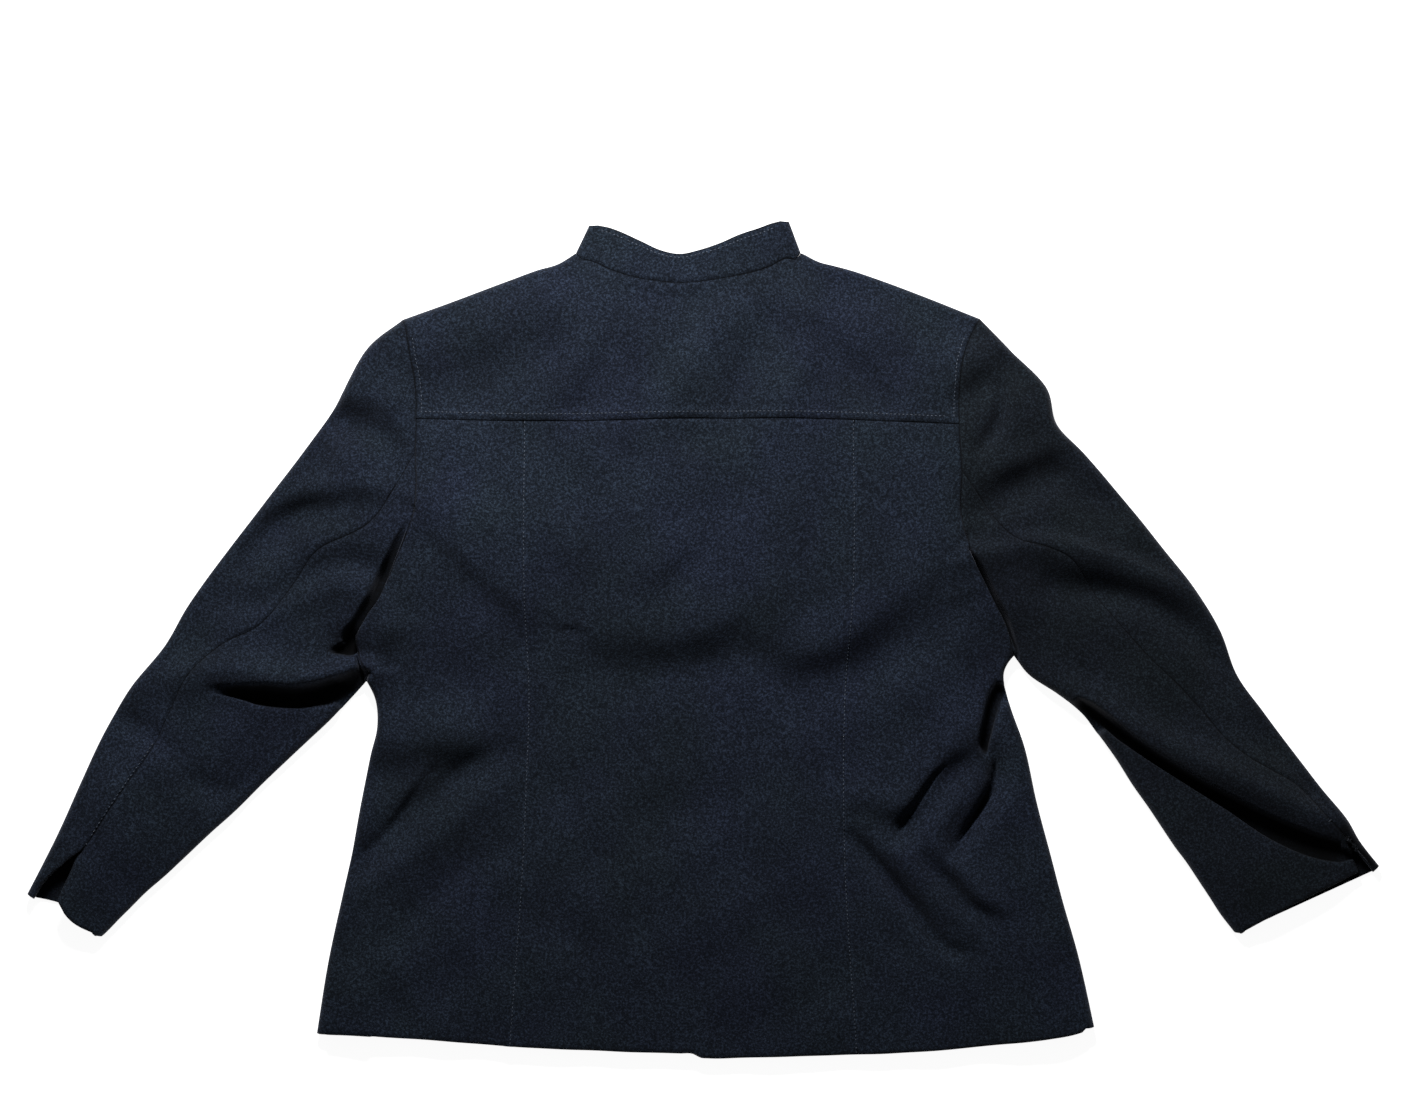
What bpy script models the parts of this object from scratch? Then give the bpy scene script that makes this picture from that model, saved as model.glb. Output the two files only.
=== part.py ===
"""A cropped wool jacket with a stand collar, laid flat on its front, so that its back faces up.

The back yoke, the centre back, the side backs, the two-piece sleeves and the collar are walls of cloth that
roll over at the folded edges and come down to the plain fronts, which lie on the surface. All tables are in
millimetres as the jacket lies: x to the right, y towards the collar, z up from the surface.
"""

import math

import bmesh
import bpy
import numpy as np
from mathutils import Vector

MM = 0.001

# Cloth and seams
CLOTH = 2.0             # wall of the wool
SEAM_GAP = 0.3          # space between two sewn pieces
SHARPEST_MITRE = 0.4    # keeps a sharp corner of a piece from moving in too far
ROLL = 6.5              # how far a folded edge bulges out past the cloth on top
ROLL_STEPS = 5          # flats round a folded edge
ON_SURFACE = 0.01       # cloth lower than this lies on the surface

# How quickly the roll of a folded edge turns towards the corner that it runs into
UNDERARM_REACH = 20.0   # down a side of the body, in millimetres
SHOULDER_REACH = 6.0    # along a shoulder, as one over its share
SLEEVE_REACH = 1.5      # down a sleeve, as one over its rows

# How far to each side of a point the direction of its edge is measured, and how far in from a corner
SIDE_PROBE = 1.0        # along a side of the body, in millimetres
SHOULDER_PROBE = 4.0    # along a shoulder
SLEEVE_PROBE = 0.3      # down a sleeve, in rows
SHOULDER_INSET = 10.0
NECK_INSET = 15.0

# Heights of the outer face above the surface
LOWEST = 9.0            # the top cloth never sinks below this
LOWEST_BLEND = 2.0      # how softly it is held up there
EDGE_SHARE = 0.66       # share of the full height that is left at a folded edge
EDGE_WIDTH = 45.0       # how far in from a folded edge the cloth reaches its full height
BODY_HALF = 205.0       # half width of the body, where the sleeves' own heights start to count
BODY_CENTRE = -12.0     # the centre back line
SLEEVE_BLEND = 120.0    # distance over which they take over

# y, height of the body
CROWN = [(-320, 12), (-290, 14), (-230, 18), (-150, 19), (-60, 20), (-20, 22), (20, 28), (50, 31),
         (100, 33), (150, 32), (200, 28), (245, 23), (285, 19), (320, 17)]
# distance out from the middle, height of a sleeve
SLEEVE_CROWN = [(200, 24), (280, 21), (360, 20), (430, 17), (520, 12)]

# Seams and edges of the body: y, x
SIDE = {
    "left": [(-299, -294), (-243, -285), (-188, -273), (-160, -267), (-122, -260), (-87, -253),
             (-67, -248), (-46, -249), (-31, -254)],
    "right": [(-294, 297), (-240, 285), (-198, 273), (-160, 263), (-122, 253), (-81, 244),
              (-46, 232), (-24, 228), (-12, 232)],
}
ARMHOLE = {
    "left": [(217, -222), (195, -218), (167, -217), (142, -218), (119, -217), (97, -219), (76, -226),
             (61, -231), (36, -244), (17, -257), (0, -262)],
    "right": [(228, 201), (213, 196), (192, 194), (163, 193), (128, 195), (97, 195), (76, 200),
              (61, 206), (31, 221), (14, 229)],
}
PRINCESS = {
    "left": [(-308, -148), (-153, -137), (-104, -135), (-49, -133), (30, -136), (166, -136)],
    "right": [(-308, 117), (-166, 108), (-44, 108), (44, 114), (166, 114)],
}
# x, y
YOKE_SEAM = [(-218, 168), (-129, 166), (-5, 168), (76, 168), (192, 164)]
BACK_HEM = [(-294, -299), (-261, -300), (-231, -302), (-193, -305), (-155, -308), (-79, -312),
            (-18, -314), (28, -314), (111, -312), (187, -308), (225, -304), (263, -300),
            (285, -297), (297, -294)]
SHOULDER = {
    "left": [(-228, 243), (-187, 258), (-145, 274), (-126, 281), (-110, 286), (-97, 294)],
    "right": [(75, 294), (89, 287), (97, 285), (112, 281), (133, 274), (175, 258), (210, 244)],
}
NECK_SEAM = [(-86, 288), (-70, 281), (-51, 275), (-31, 272), (-13, 271), (5, 273), (22, 276),
             (36, 279), (51, 284), (63, 290)]
COLLAR_EDGE = [(-71, 313), (-63, 310), (-48, 303), (-33, 296), (-18, 293), (-3, 296), (12, 301),
               (28, 308), (43, 313), (51, 316)]

# Corners where folded edges meet, and the ends of the centre front edge: x, y
SHOULDER_POINT = {"left": (-228, 243), "right": (210, 244)}
UNDERARM = {"left": (-256, -31), "right": (236, -12)}
NECK_POINT = {"left": (-97, 294), "right": (74, 294)}
COLLAR_TIP = {"left": (-87, 315), "right": (65, 318)}
FRONT_NECK = (-8, 216)
FRONT_COLLAR_TOP = (-8, 245)
FRONT_HEM_CENTRE = (-2, -316)
RIGHT_HEM_SHOWS = 4.0   # how far the right front's hem reaches below the back's
LEFT_HEM_SHORT = 2.0    # how far the left front's hem stays above it
HEM_STEP_SHARE = 0.1    # share of a front's hem over which it leaves the back's
NECK_TURN = 0.5         # how much the roll beside the neck leans up towards the collar
COLLAR_HEIGHT = 13.0    # height of the collar's folds above the surface
COLLAR_ARCH = 5.0       # how much higher its edge lies at the centre back

# Sleeves, each row one line across: outer fold x, y, elbow seam x, y, inner fold x, y
SLEEVE = {
    "left": [
        (-228, 243, -218, 142, -256, -31),
        (-256, 220, -250, 92, -267, -43),
        (-280, 177, -291, 69, -284, -61),
        (-307, 139, -310, 44, -300, -76),
        (-337, 100, -336, 12, -316, -91),
        (-367, 61, -364, -2, -336, -110),
        (-392, 26, -389, -24, -356, -130),
        (-410, -5, -404, -52, -375, -147),
        (-436, -37, -419, -83, -394, -165),
        (-456, -71, -434, -105, -409, -179),
        (-472, -106, -451, -130, -424, -192),
        (-489, -144, -468, -155, -439, -207),
        (-501, -168, -482, -166, -450, -217),
        (-514, -193, -503, -184, -459, -224),
    ],
    "right": [
        (210, 244, 195, 128, 236, -12),
        (233, 220, 229, 83, 248, -27),
        (260, 192, 259, 71, 269, -41),
        (268, 164, 279, 60, 288, -56),
        (290, 141, 300, 31, 301, -73),
        (320, 106, 320, 7, 314, -91),
        (348, 71, 339, -14, 326, -110),
        (373, 39, 359, -33, 338, -127),
        (393, 7, 377, -52, 348, -142),
        (406, -27, 394, -72, 358, -157),
        (426, -55, 412, -87, 367, -169),
        (450, -87, 431, -98, 377, -184),
        (470, -113, 452, -111, 385, -196),
        (488, -135, 477, -138, 392, -207),
        (499, -153, 489, -151, 398, -215),
        (514, -172, 504, -168, 406, -225),
    ],
}
# How far the under sleeve's edge stands off the upper sleeve's along the open vent: row, x, y
VENT = {
    "left": [(11, 0, 0), (12, 6, 0), (13, 13, -13)],
    "right": [(13, 0, 0), (14, -2, 0), (15, -5, -7)],
}
# How far the cuff hem leaves the straight line between its corners, on top and on the surface: x, y
CUFF_BOW = {"left": (-4, -6), "right": (0, 0)}
FLOOR_CUFF_BOW = {"left": (3, 4), "right": (0, 0)}
ARMHOLE_FADE = 4.0      # rows over which the armhole's curve dies out along the sleeve
FRONT_SCOOP = 14.0      # how much further in the front armhole is cut

# Largest folds: height, spread on the left of the path, spread on its right, path of x, y
FOLDS = [
    # left sleeve: the elbow fold that hangs over, the dip under it, the pit at the underarm, softer dips
    (9, 11, 28, [(-394, -35), (-366, -27), (-342, -33), (-313, -33), (-291, -27), (-262, -22)]),
    (-6, 12, 12, [(-385, -53), (-342, -50), (-300, -48), (-275, -42)]),
    (-8, 14, 14, [(-275, -2), (-268, -8)]),
    (-3, 15, 15, [(-331, 91), (-263, 105)]),
    (-4, 12, 12, [(-447, -55), (-413, -51)]),
    (-5, 11, 11, [(-231, 58), (-244, 36), (-257, 17), (-264, 2)]),
    # the open left cuff, which stands up
    (8, 42, 42, [(-458, -125), (-486, -205)]),
    # left of the body: the waist ridge, the dip under it and its creases
    (5, 14, 18, [(-236, -76), (-158, -72)]),
    (-4, 14, 14, [(-236, -98), (-158, -96)]),
    (-4, 10, 10, [(-181, -97), (-218, -120), (-250, -156)]),
    (-3, 16, 16, [(-188, -170), (-208, -198)]),
    # the drop across the middle of the back, and a soft dip in the yoke
    (-3, 22, 22, [(-66, 0), (-33, -24), (13, -24), (58, -8), (111, 0), (178, 51)]),
    (-2, 14, 14, [(49, 227), (22, 180)]),
    # right of the body: the deep side fold and the hollow beside it
    (-7, 9, 9, [(220, -38), (213, -55), (212, -70), (218, -100), (214, -124), (190, -157)]),
    (4, 12, 12, [(205, -38), (198, -60), (200, -84)]),
    (-4, 12, 12, [(205, -91), (172, -125)]),
    (-4, 24, 24, [(150, -85), (200, -130)]),
    (-3, 18, 18, [(111, -132), (185, -214)]),
    # right sleeve: the long fold that hangs over, the dip under it, softer dips, the full sleeve head
    (7, 11, 22, [(475, -154), (434, -135), (394, -110), (353, -90), (308, -63), (285, -50)]),
    (-5, 12, 12, [(450, -160), (414, -142), (374, -120), (330, -97), (306, -82)]),
    (-3, 12, 12, [(233, 180), (262, 150)]),
    (-4, 12, 12, [(267, 125), (314, 105)]),
    (-3, 14, 14, [(357, 30), (396, 0)]),
    (3, 14, 14, [(216, 216), (230, 184)]),
]

# Facets
YOKE_ROWS = 7
ROWS_ABOVE_ELBOW_SEAM = 2   # body rows from the yoke seam to the start of the elbow seam
ROWS_TO_UNDERARM = 9        # and from there to the underarm
ROWS_TO_HEM = 15
SIDE_COLUMNS = 8
CENTRE_COLUMNS = 14
SHOULDER_COLUMNS = 7
COLLAR_ROWS = 3
FRONT_COLLAR_COLUMNS = 8
SLEEVE_FLOOR_COLUMNS = 7    # across a sleeve's lower layer
UNDER_FLOOR_COLUMNS = 2     # of these, the under sleeve has so many
SLEEVE_STATIONS = 16        # down a sleeve to its vent
VENT_STATIONS = 3           # and from there to its cuff
HEM_POINTS = 8
BEYOND = 1e9                # further than any distance on the jacket

WOOL = (0.0144, 0.0168, 0.0232)


def smooth(rows, key):
    """Value of a two-column table at a key, on a smooth curve through its rows."""
    rows = sorted(rows)
    keys = np.array([row[0] for row in rows], float)
    values = np.array([row[1] for row in rows], float)
    slopes = np.gradient(values, keys)
    at = np.clip(np.asarray(key, float), keys[0], keys[-1])
    span = np.clip(np.searchsorted(keys, at, side="right") - 1, 0, len(keys) - 2)
    width = keys[span + 1] - keys[span]
    t = (at - keys[span]) / width
    start = values[span] * (1 + 2 * t) * (1 - t) ** 2 + slopes[span] * width * t * (1 - t) ** 2
    end = values[span + 1] * t ** 2 * (3 - 2 * t) + slopes[span + 1] * width * t ** 2 * (t - 1)
    return start + end


def ease(t):
    """Soft step from 0 to 1."""
    t = np.clip(t, 0.0, 1.0)
    return t * t * (3 - 2 * t)


def unit(vector):
    """The vector at length 1."""
    vector = np.asarray(vector, float)
    return vector / np.linalg.norm(vector)


def distance_to(path, x, y):
    """Distance from points to a path, and on which side of it they are (+1 is its left)."""
    best = np.full(np.shape(x), BEYOND)
    side = np.ones(np.shape(x))
    for (ax, ay), (bx, by) in zip(path[:-1], path[1:]):
        dx = bx - ax
        dy = by - ay
        t = np.clip(((x - ax) * dx + (y - ay) * dy) / (dx * dx + dy * dy), 0, 1)
        away = np.hypot(x - ax - t * dx, y - ay - t * dy)
        turn = np.sign(dx * (y - ay) - dy * (x - ax))
        nearer = away < best
        best = np.where(nearer, away, best)
        side = np.where(nearer, turn, side)
    return best, side


def sleeve_line(side, which, row):
    """Point on a sleeve's outer fold (0), elbow seam (1) or inner fold (2), at a row of its table."""
    table = SLEEVE[side]
    x = smooth([(i, line[2 * which]) for i, line in enumerate(table)], row)
    y = smooth([(i, line[2 * which + 1]) for i, line in enumerate(table)], row)
    return np.array([x, y])


def folded_edges():
    """Every folded edge seen from above, as a path."""
    edges = []
    for side in ("left", "right"):
        rows = range(len(SLEEVE[side]))
        edges.append([tuple(sleeve_line(side, 0, row)) for row in rows])
        edges.append([tuple(sleeve_line(side, 2, row)) for row in rows])
        edges.append([(x, y) for y, x in SIDE[side]])
        edges.append(list(SHOULDER[side]))
        edges.append([NECK_POINT[side], COLLAR_TIP[side]])
    return edges


EDGES = folded_edges()


def lay(x, y):
    """Height of the outer face of the cloth on top, anywhere on the jacket."""
    x = np.asarray(x, float)
    y = np.asarray(y, float)
    out = ease((np.abs(x - BODY_CENTRE) - BODY_HALF) / SLEEVE_BLEND)
    height = smooth(CROWN, y) * (1 - out) + smooth(SLEEVE_CROWN, np.abs(x)) * out
    edge = np.min([distance_to(path, x, y)[0] for path in EDGES], axis=0)
    height = height * (EDGE_SHARE + (1 - EDGE_SHARE) * ease(edge / EDGE_WIDTH))
    for rise, spread_left, spread_right, path in FOLDS:
        away, turn = distance_to(path, x, y)
        spread = np.where(turn > 0, spread_left, spread_right)
        height = height + rise * np.exp(-(away / spread) ** 2)
    return LOWEST + LOWEST_BLEND * np.logaddexp(0, (height - LOWEST) / LOWEST_BLEND)


def lift(x, y):
    """Point of the top cloth above a place on the surface."""
    return np.array([x, y, lay(x, y)], float)


def roll(point, outward):
    """Points round a folded edge, from the top cloth down to the surface."""
    height = point[2]
    turns = np.linspace(0, math.pi, ROLL_STEPS + 1)
    return np.array([(point[0] + ROLL * math.sin(turn) * outward[0],
                      point[1] + ROLL * math.sin(turn) * outward[1],
                      height * (1 + math.cos(turn)) / 2) for turn in turns])


SIGN = {"left": -1.0, "right": 1.0}


def side_normal(side, y):
    """Outward direction of the folded side of the body."""
    step = smooth(SIDE[side], y + SIDE_PROBE) - smooth(SIDE[side], y - SIDE_PROBE)
    return unit((2 * SIDE_PROBE, -step)) * SIGN[side]


def shoulder_normal(side, x):
    """Outward direction of the folded shoulder."""
    step = smooth(SHOULDER[side], x + SHOULDER_PROBE) - smooth(SHOULDER[side], x - SHOULDER_PROBE)
    return unit((-step, 2 * SHOULDER_PROBE))


def sleeve_normal(side, which, row):
    """Outward direction of a sleeve's outer or inner fold."""
    last = len(SLEEVE[side]) - 1
    ahead = sleeve_line(side, which, min(row + SLEEVE_PROBE, last))
    behind = sleeve_line(side, which, max(row - SLEEVE_PROBE, 0))
    along = unit(ahead - behind)
    turn = SIGN[side] if which == 0 else -SIGN[side]
    return np.array([-along[1], along[0]]) * turn


def corner_direction(side, where):
    """Direction in which the roll at a corner points, half way between the two edges that meet there."""
    if where == "shoulder":
        first = sleeve_normal(side, 0, 0.0)
        second = shoulder_normal(side, SHOULDER_POINT[side][0] - SIGN[side] * SHOULDER_INSET)
    elif where == "underarm":
        first = sleeve_normal(side, 2, 0.0)
        second = np.array([SIGN[side], 0.0])
    else:
        first = shoulder_normal(side, NECK_POINT[side][0] + SIGN[side] * NECK_INSET)
        second = unit((SIGN[side], NECK_TURN))
    return unit(first + second)


def corner(side, where):
    """Top point of the roll at a corner."""
    place = {"shoulder": SHOULDER_POINT, "underarm": UNDERARM, "neck": NECK_POINT}[where][side]
    inset = np.array(place) - ROLL * corner_direction(side, where)
    return lift(inset[0], inset[1])


def armhole_x(side, y):
    """x of the back armhole seam at y."""
    top = corner(side, "shoulder")
    bottom = corner(side, "underarm")
    rows = [(top[1], top[0])] + ARMHOLE[side] + [(bottom[1], bottom[0])]
    return smooth(rows, y)


def armhole_heights(side):
    """y of each seam vertex down the back armhole, from the shoulder to the underarm."""
    top = corner(side, "shoulder")[1]
    bottom = corner(side, "underarm")[1]
    yoke = float(smooth(YOKE_SEAM, armhole_x(side, YOKE_SEAM[0][1])))
    elbow = SLEEVE[side][0][3]
    return np.concatenate([
        np.linspace(top, yoke, YOKE_ROWS + 1),
        np.linspace(yoke, elbow, ROWS_ABOVE_ELBOW_SEAM + 1)[1:],
        np.linspace(elbow, bottom, ROWS_TO_UNDERARM + 1)[1:],
    ])


def armhole_points(side):
    """The back armhole seam, from the shoulder to the underarm."""
    heights = armhole_heights(side)
    x = armhole_x(side, heights)
    return np.stack([x, heights, lay(x, heights)], axis=-1)


def front_armhole_points(side):
    """The front armhole, on the surface, from the shoulder to the underarm."""
    share = np.linspace(0, 1, SLEEVE_FLOOR_COLUMNS + 1)
    top = corner(side, "shoulder")
    bottom = corner(side, "underarm")
    y = top[1] + (bottom[1] - top[1]) * share
    x = armhole_x(side, y) - SIGN[side] * FRONT_SCOOP * np.sin(math.pi * share)
    return np.stack([x, y, np.zeros_like(x)], axis=-1)


def side_end(side, y):
    """Top point of the roll down a side of the body, and the direction of the roll."""
    near = math.exp(-(UNDERARM[side][1] - y) / UNDERARM_REACH)
    outward = unit((1 - near) * side_normal(side, y) + near * corner_direction(side, "underarm"))
    x = float(smooth(SIDE[side], y)) - ROLL * outward[0]
    return lift(x, y - ROLL * outward[1]), outward


def body_side(side):
    """Points where the top cloth ends at a side, row by row from the yoke seam to the hem."""
    armhole = armhole_points(side)[YOKE_ROWS:]
    low = armhole[-1][1]
    hem = SIDE[side][0][0]
    heights = np.linspace(low, hem, ROWS_TO_HEM + 1)[1:]
    return np.concatenate([armhole, [side_end(side, y)[0] for y in heights]])


def row_shares(ends):
    """How far each row end lies from the hem, which is the last row, to the yoke seam."""
    hem = smooth(BACK_HEM, ends[:, 0])
    yoke = smooth(YOKE_SEAM, ends[:, 0])
    shares = (ends[:, 1] - hem) / (yoke - hem)
    shares[-1] = 0.0
    return shares


def row_height(x, start, end, start_share, end_share):
    """y of one row of the body at x, between its two ends."""
    across = (x - start[0]) / (end[0] - start[0])
    share = start_share + (end_share - start_share) * across
    return smooth(BACK_HEM, x) * (1 - share) + smooth(YOKE_SEAM, x) * share


def body_rows():
    """The top cloth of the body from the left side to the right, row by row from the yoke seam down."""
    left = body_side("left")
    right = body_side("right")
    rows = []
    for start, end, *shares in zip(left, right, row_shares(left), row_shares(right)):
        seam_left, seam_right = (
            float(smooth(PRINCESS[side], row_height(PRINCESS[side][-1][1], start, end, *shares)))
            for side in ("left", "right"))
        x = np.concatenate([
            np.linspace(start[0], seam_left, SIDE_COLUMNS + 1),
            np.linspace(seam_left, seam_right, CENTRE_COLUMNS + 1)[1:],
            np.linspace(seam_right, end[0], SIDE_COLUMNS + 1)[1:],
        ])
        y = row_height(x, start, end, *shares)
        y[0] = start[1]
        y[-1] = end[1]
        rows.append(np.stack([x, y, lay(x, y)], axis=-1))
    return np.array(rows)


def shoulder_points(side):
    """Top points of the roll along a shoulder, from the armhole to the neck, and their directions."""
    start = corner(side, "shoulder")
    end = corner(side, "neck")
    share = np.linspace(0, 1, SHOULDER_COLUMNS + 1)
    points = []
    directions = []
    for part in share:
        x = SHOULDER_POINT[side][0] + (NECK_POINT[side][0] - SHOULDER_POINT[side][0]) * part
        near_start = math.exp(-part * SHOULDER_REACH)
        near_end = math.exp(-(1 - part) * SHOULDER_REACH)
        outward = (corner_direction(side, "shoulder") * near_start
                   + corner_direction(side, "neck") * near_end
                   + shoulder_normal(side, x) * (1 - near_start) * (1 - near_end))
        outward = unit(outward)
        place = np.array([x, float(smooth(SHOULDER[side], x))]) - ROLL * outward
        points.append(lift(place[0], place[1]))
        directions.append(outward)
    points[0] = start
    points[-1] = end
    directions[0] = corner_direction(side, "shoulder")
    directions[-1] = corner_direction(side, "neck")
    return np.array(points), directions


def neck_points():
    """The back neck seam from left to right, one point for each column of the yoke between the shoulders."""
    start = corner("left", "neck")
    end = corner("right", "neck")
    columns = 2 * SIDE_COLUMNS + CENTRE_COLUMNS - 2 * SHOULDER_COLUMNS
    x = np.linspace(start[0], end[0], columns + 1)
    y = smooth([(start[0], start[1])] + NECK_SEAM + [(end[0], end[1])], x)
    return np.stack([x, y, lay(x, y)], axis=-1)


def yoke_grid(body):
    """The yoke's cloth on top, from its seam up to the shoulders and the neck."""
    left_shoulder = shoulder_points("left")[0]
    right_shoulder = shoulder_points("right")[0]
    bottom = body[0]
    top = np.concatenate([left_shoulder, neck_points()[1:-1], right_shoulder[::-1]])
    left = armhole_points("left")[:YOKE_ROWS + 1][::-1]
    right = armhole_points("right")[:YOKE_ROWS + 1][::-1]
    columns = len(bottom) - 1
    grid = np.zeros((YOKE_ROWS + 1, columns + 1, 3))
    for j in range(YOKE_ROWS + 1):
        up = j / YOKE_ROWS
        for i in range(columns + 1):
            over = i / columns
            sides = (1 - over) * left[j] + over * right[j]
            ends = (1 - up) * bottom[i] + up * top[i]
            corners = ((1 - over) * ((1 - up) * bottom[0] + up * top[0])
                       + over * ((1 - up) * bottom[-1] + up * top[-1]))
            grid[j, i] = sides + ends - corners
    grid[..., 2] = lay(grid[..., 0], grid[..., 1])
    return grid


def collar_grid():
    """The collar band from the centre front round the left, the back and the right to the centre front."""
    seam = neck_points()
    count = len(seam)
    outward = {side: np.array([SIGN[side], 0.0]) for side in COLLAR_TIP}
    tips = {side: np.array(COLLAR_TIP[side]) - ROLL * outward[side] for side in COLLAR_TIP}
    x = np.linspace(tips["left"][0], tips["right"][0], count)
    edge_rows = [tuple(tips["left"])] + COLLAR_EDGE + [tuple(tips["right"])]
    arch = COLLAR_HEIGHT + COLLAR_ARCH * np.sin(math.pi * np.linspace(0, 1, count))
    edge = np.stack([x, smooth(edge_rows, x), arch], axis=-1)
    turns = np.linspace(0, math.pi / 2, FRONT_COLLAR_COLUMNS + 1)

    def front_half(start, end):
        return np.stack([start[0] + (end[0] - start[0]) * (1 - np.cos(turns)),
                         start[1] + (end[1] - start[1]) * np.sin(turns),
                         np.zeros_like(turns)], axis=-1)

    lower = []
    upper = []
    for side, seam_end, edge_end in (("left", seam[0], edge[0]), ("right", seam[-1], edge[-1])):
        low_roll = roll(seam_end, corner_direction(side, "neck"))
        high_roll = roll(edge_end, outward[side])
        lower.append(np.concatenate([low_roll, front_half(seam_end, FRONT_NECK)[1:]]))
        upper.append(np.concatenate([high_roll, front_half(edge_end, FRONT_COLLAR_TOP)[1:]]))
    lower_line = np.concatenate([lower[0][::-1], seam[1:-1], lower[1]])
    upper_line = np.concatenate([upper[0][::-1], edge[1:-1], upper[1]])
    share = np.linspace(0, 1, COLLAR_ROWS + 1)[:, None, None]
    return lower_line * (1 - share) + upper_line * share


def sleeve_rows(side):
    """Rows of the sleeve's table at which the sleeve is drawn: even to the vent, then to the cuff."""
    vent = VENT[side][0][0]
    last = len(SLEEVE[side]) - 1
    to_vent = np.linspace(0, vent, SLEEVE_STATIONS + 1)
    return np.concatenate([to_vent, np.linspace(vent, last, VENT_STATIONS + 1)[1:]])


def sleeve_grids(side):
    """Upper and under sleeve: from the elbow seam over a fold and along the surface to the front seam."""
    armhole = armhole_points(side)
    floor_armhole = front_armhole_points(side)
    to_seam = YOKE_ROWS + ROWS_ABOVE_ELBOW_SEAM
    last = len(SLEEVE[side]) - 1
    vent = VENT[side]
    upper = []
    under = []
    for row in sleeve_rows(side):
        near = math.exp(-row * SLEEVE_REACH)
        outer_way = unit(sleeve_normal(side, 0, row) * (1 - near) + corner_direction(side, "shoulder") * near)
        inner_way = unit(sleeve_normal(side, 2, row) * (1 - near) + corner_direction(side, "underarm") * near)
        outer = sleeve_line(side, 0, row) - ROLL * outer_way
        inner = sleeve_line(side, 2, row) - ROLL * inner_way
        seam = sleeve_line(side, 1, row)
        opened = np.array([np.interp(row, [v[0] for v in vent], [v[i] for v in vent]) for i in (1, 2)])
        fade = max(0.0, 1 - row / ARMHOLE_FADE) ** 2
        near_cuff = ease((row - vent[0][0]) / (last - vent[0][0]))
        outer_share = np.linspace(0, 1, to_seam + 1)[:, None]
        inner_share = np.linspace(0, 1, ROWS_TO_UNDERARM + 1)[:, None]
        upper_top = outer + (seam - outer) * outer_share
        under_top = seam + opened + (inner - seam - opened) * inner_share
        under_top = under_top + near_cuff * np.array(CUFF_BOW[side]) * np.sin(math.pi * inner_share)
        start = SLEEVE[side][0]
        first_outer = armhole[0][:2]
        first_seam = np.array(start[2:4], float)
        first_inner = armhole[-1][:2]
        upper_start = first_outer + (first_seam - first_outer) * outer_share
        under_start = first_seam + (first_inner - first_seam) * inner_share
        upper_top += fade * (armhole[:to_seam + 1, :2] - upper_start)
        under_top += fade * (armhole[to_seam:, :2] - under_start)
        floor_share = np.linspace(0, 1, SLEEVE_FLOOR_COLUMNS + 1)[:, None]
        floor = outer + (inner - outer) * floor_share
        floor = floor + near_cuff * np.array(FLOOR_CUFF_BOW[side]) * np.sin(math.pi * floor_share)
        floor += fade * (floor_armhole[:, :2] - (first_outer + (first_inner - first_outer) * floor_share))
        floor = np.column_stack([floor, np.zeros(len(floor))])
        upper_top = np.column_stack([upper_top, lay(upper_top[:, 0], upper_top[:, 1])])
        under_top = np.column_stack([under_top, lay(under_top[:, 0], under_top[:, 1])])
        split = SLEEVE_FLOOR_COLUMNS - UNDER_FLOOR_COLUMNS
        outer_roll = roll(upper_top[0], outer_way)[1:-1]
        inner_roll = roll(under_top[-1], inner_way)[1:-1]
        upper.append(np.concatenate([upper_top[::-1], outer_roll, floor[:split + 1]]))
        under.append(np.concatenate([under_top, inner_roll, floor[split:][::-1]]))
    return np.array(upper), np.array(under)


def facing(points, faces, top_face):
    """The faces, turned over if the named one looks down."""
    a, b, c = (np.array(points[i]) for i in faces[top_face][:3])
    if np.cross(b - a, c - b)[2] < 0:
        return [face[::-1] for face in faces]
    return faces


def grid_faces(grid, top_quad=0):
    """Points and quads of one grid, the named quad being one that looks up."""
    rows, columns = grid.shape[:2]
    points = [tuple(point) for point in grid.reshape(-1, 3)]
    faces = []
    for j in range(rows - 1):
        for i in range(columns - 1):
            at = j * columns + i
            faces.append([at, at + 1, at + columns + 1, at + columns])
    return points, facing(points, faces, top_quad)


def front_outline(side, body):
    """Outline of a front on the surface: hem, centre edge, neck, shoulder, armhole and side seam."""
    grid = collar_grid()[0]
    neck_start = FRONT_COLLAR_COLUMNS + 1
    neck = grid[:neck_start][::-1] if side == "left" else grid[-neck_start:]
    shoulder = shoulder_points(side)[0]
    armhole = front_armhole_points(side)
    first_row = ROWS_ABOVE_ELBOW_SEAM + ROWS_TO_UNDERARM
    edge = body[first_row:, 0] if side == "left" else body[first_row:, -1]
    hem_end = np.array(FRONT_HEM_CENTRE, float)
    share = np.linspace(0, 1, HEM_POINTS + 1)[1:]
    x = edge[-1][0] + (hem_end[0] - edge[-1][0]) * share
    rise = LEFT_HEM_SHORT if side == "left" else -RIGHT_HEM_SHOWS
    y = smooth(BACK_HEM, x) + rise * ease(share / HEM_STEP_SHARE)
    line = []
    for source in (neck[::-1], shoulder[::-1][1:], armhole[1:], edge[1:], np.column_stack([x, y, x * 0])):
        line.extend((float(p[0]), float(p[1]), 0.0) for p in source)
    return line


def outline_face(line):
    """One flat face whose outside looks down at the surface."""
    points = [tuple(point) for point in line]
    area = sum(a[0] * b[1] - b[0] * a[1] for a, b in zip(points, points[1:] + points[:1]))
    face = list(range(len(points)))
    return points, [face if area < 0 else face[::-1]]


def key_of(point):
    """Rounded place of a point, by which points that are the same are found."""
    return tuple(round(float(value), 2) for value in point)


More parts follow.
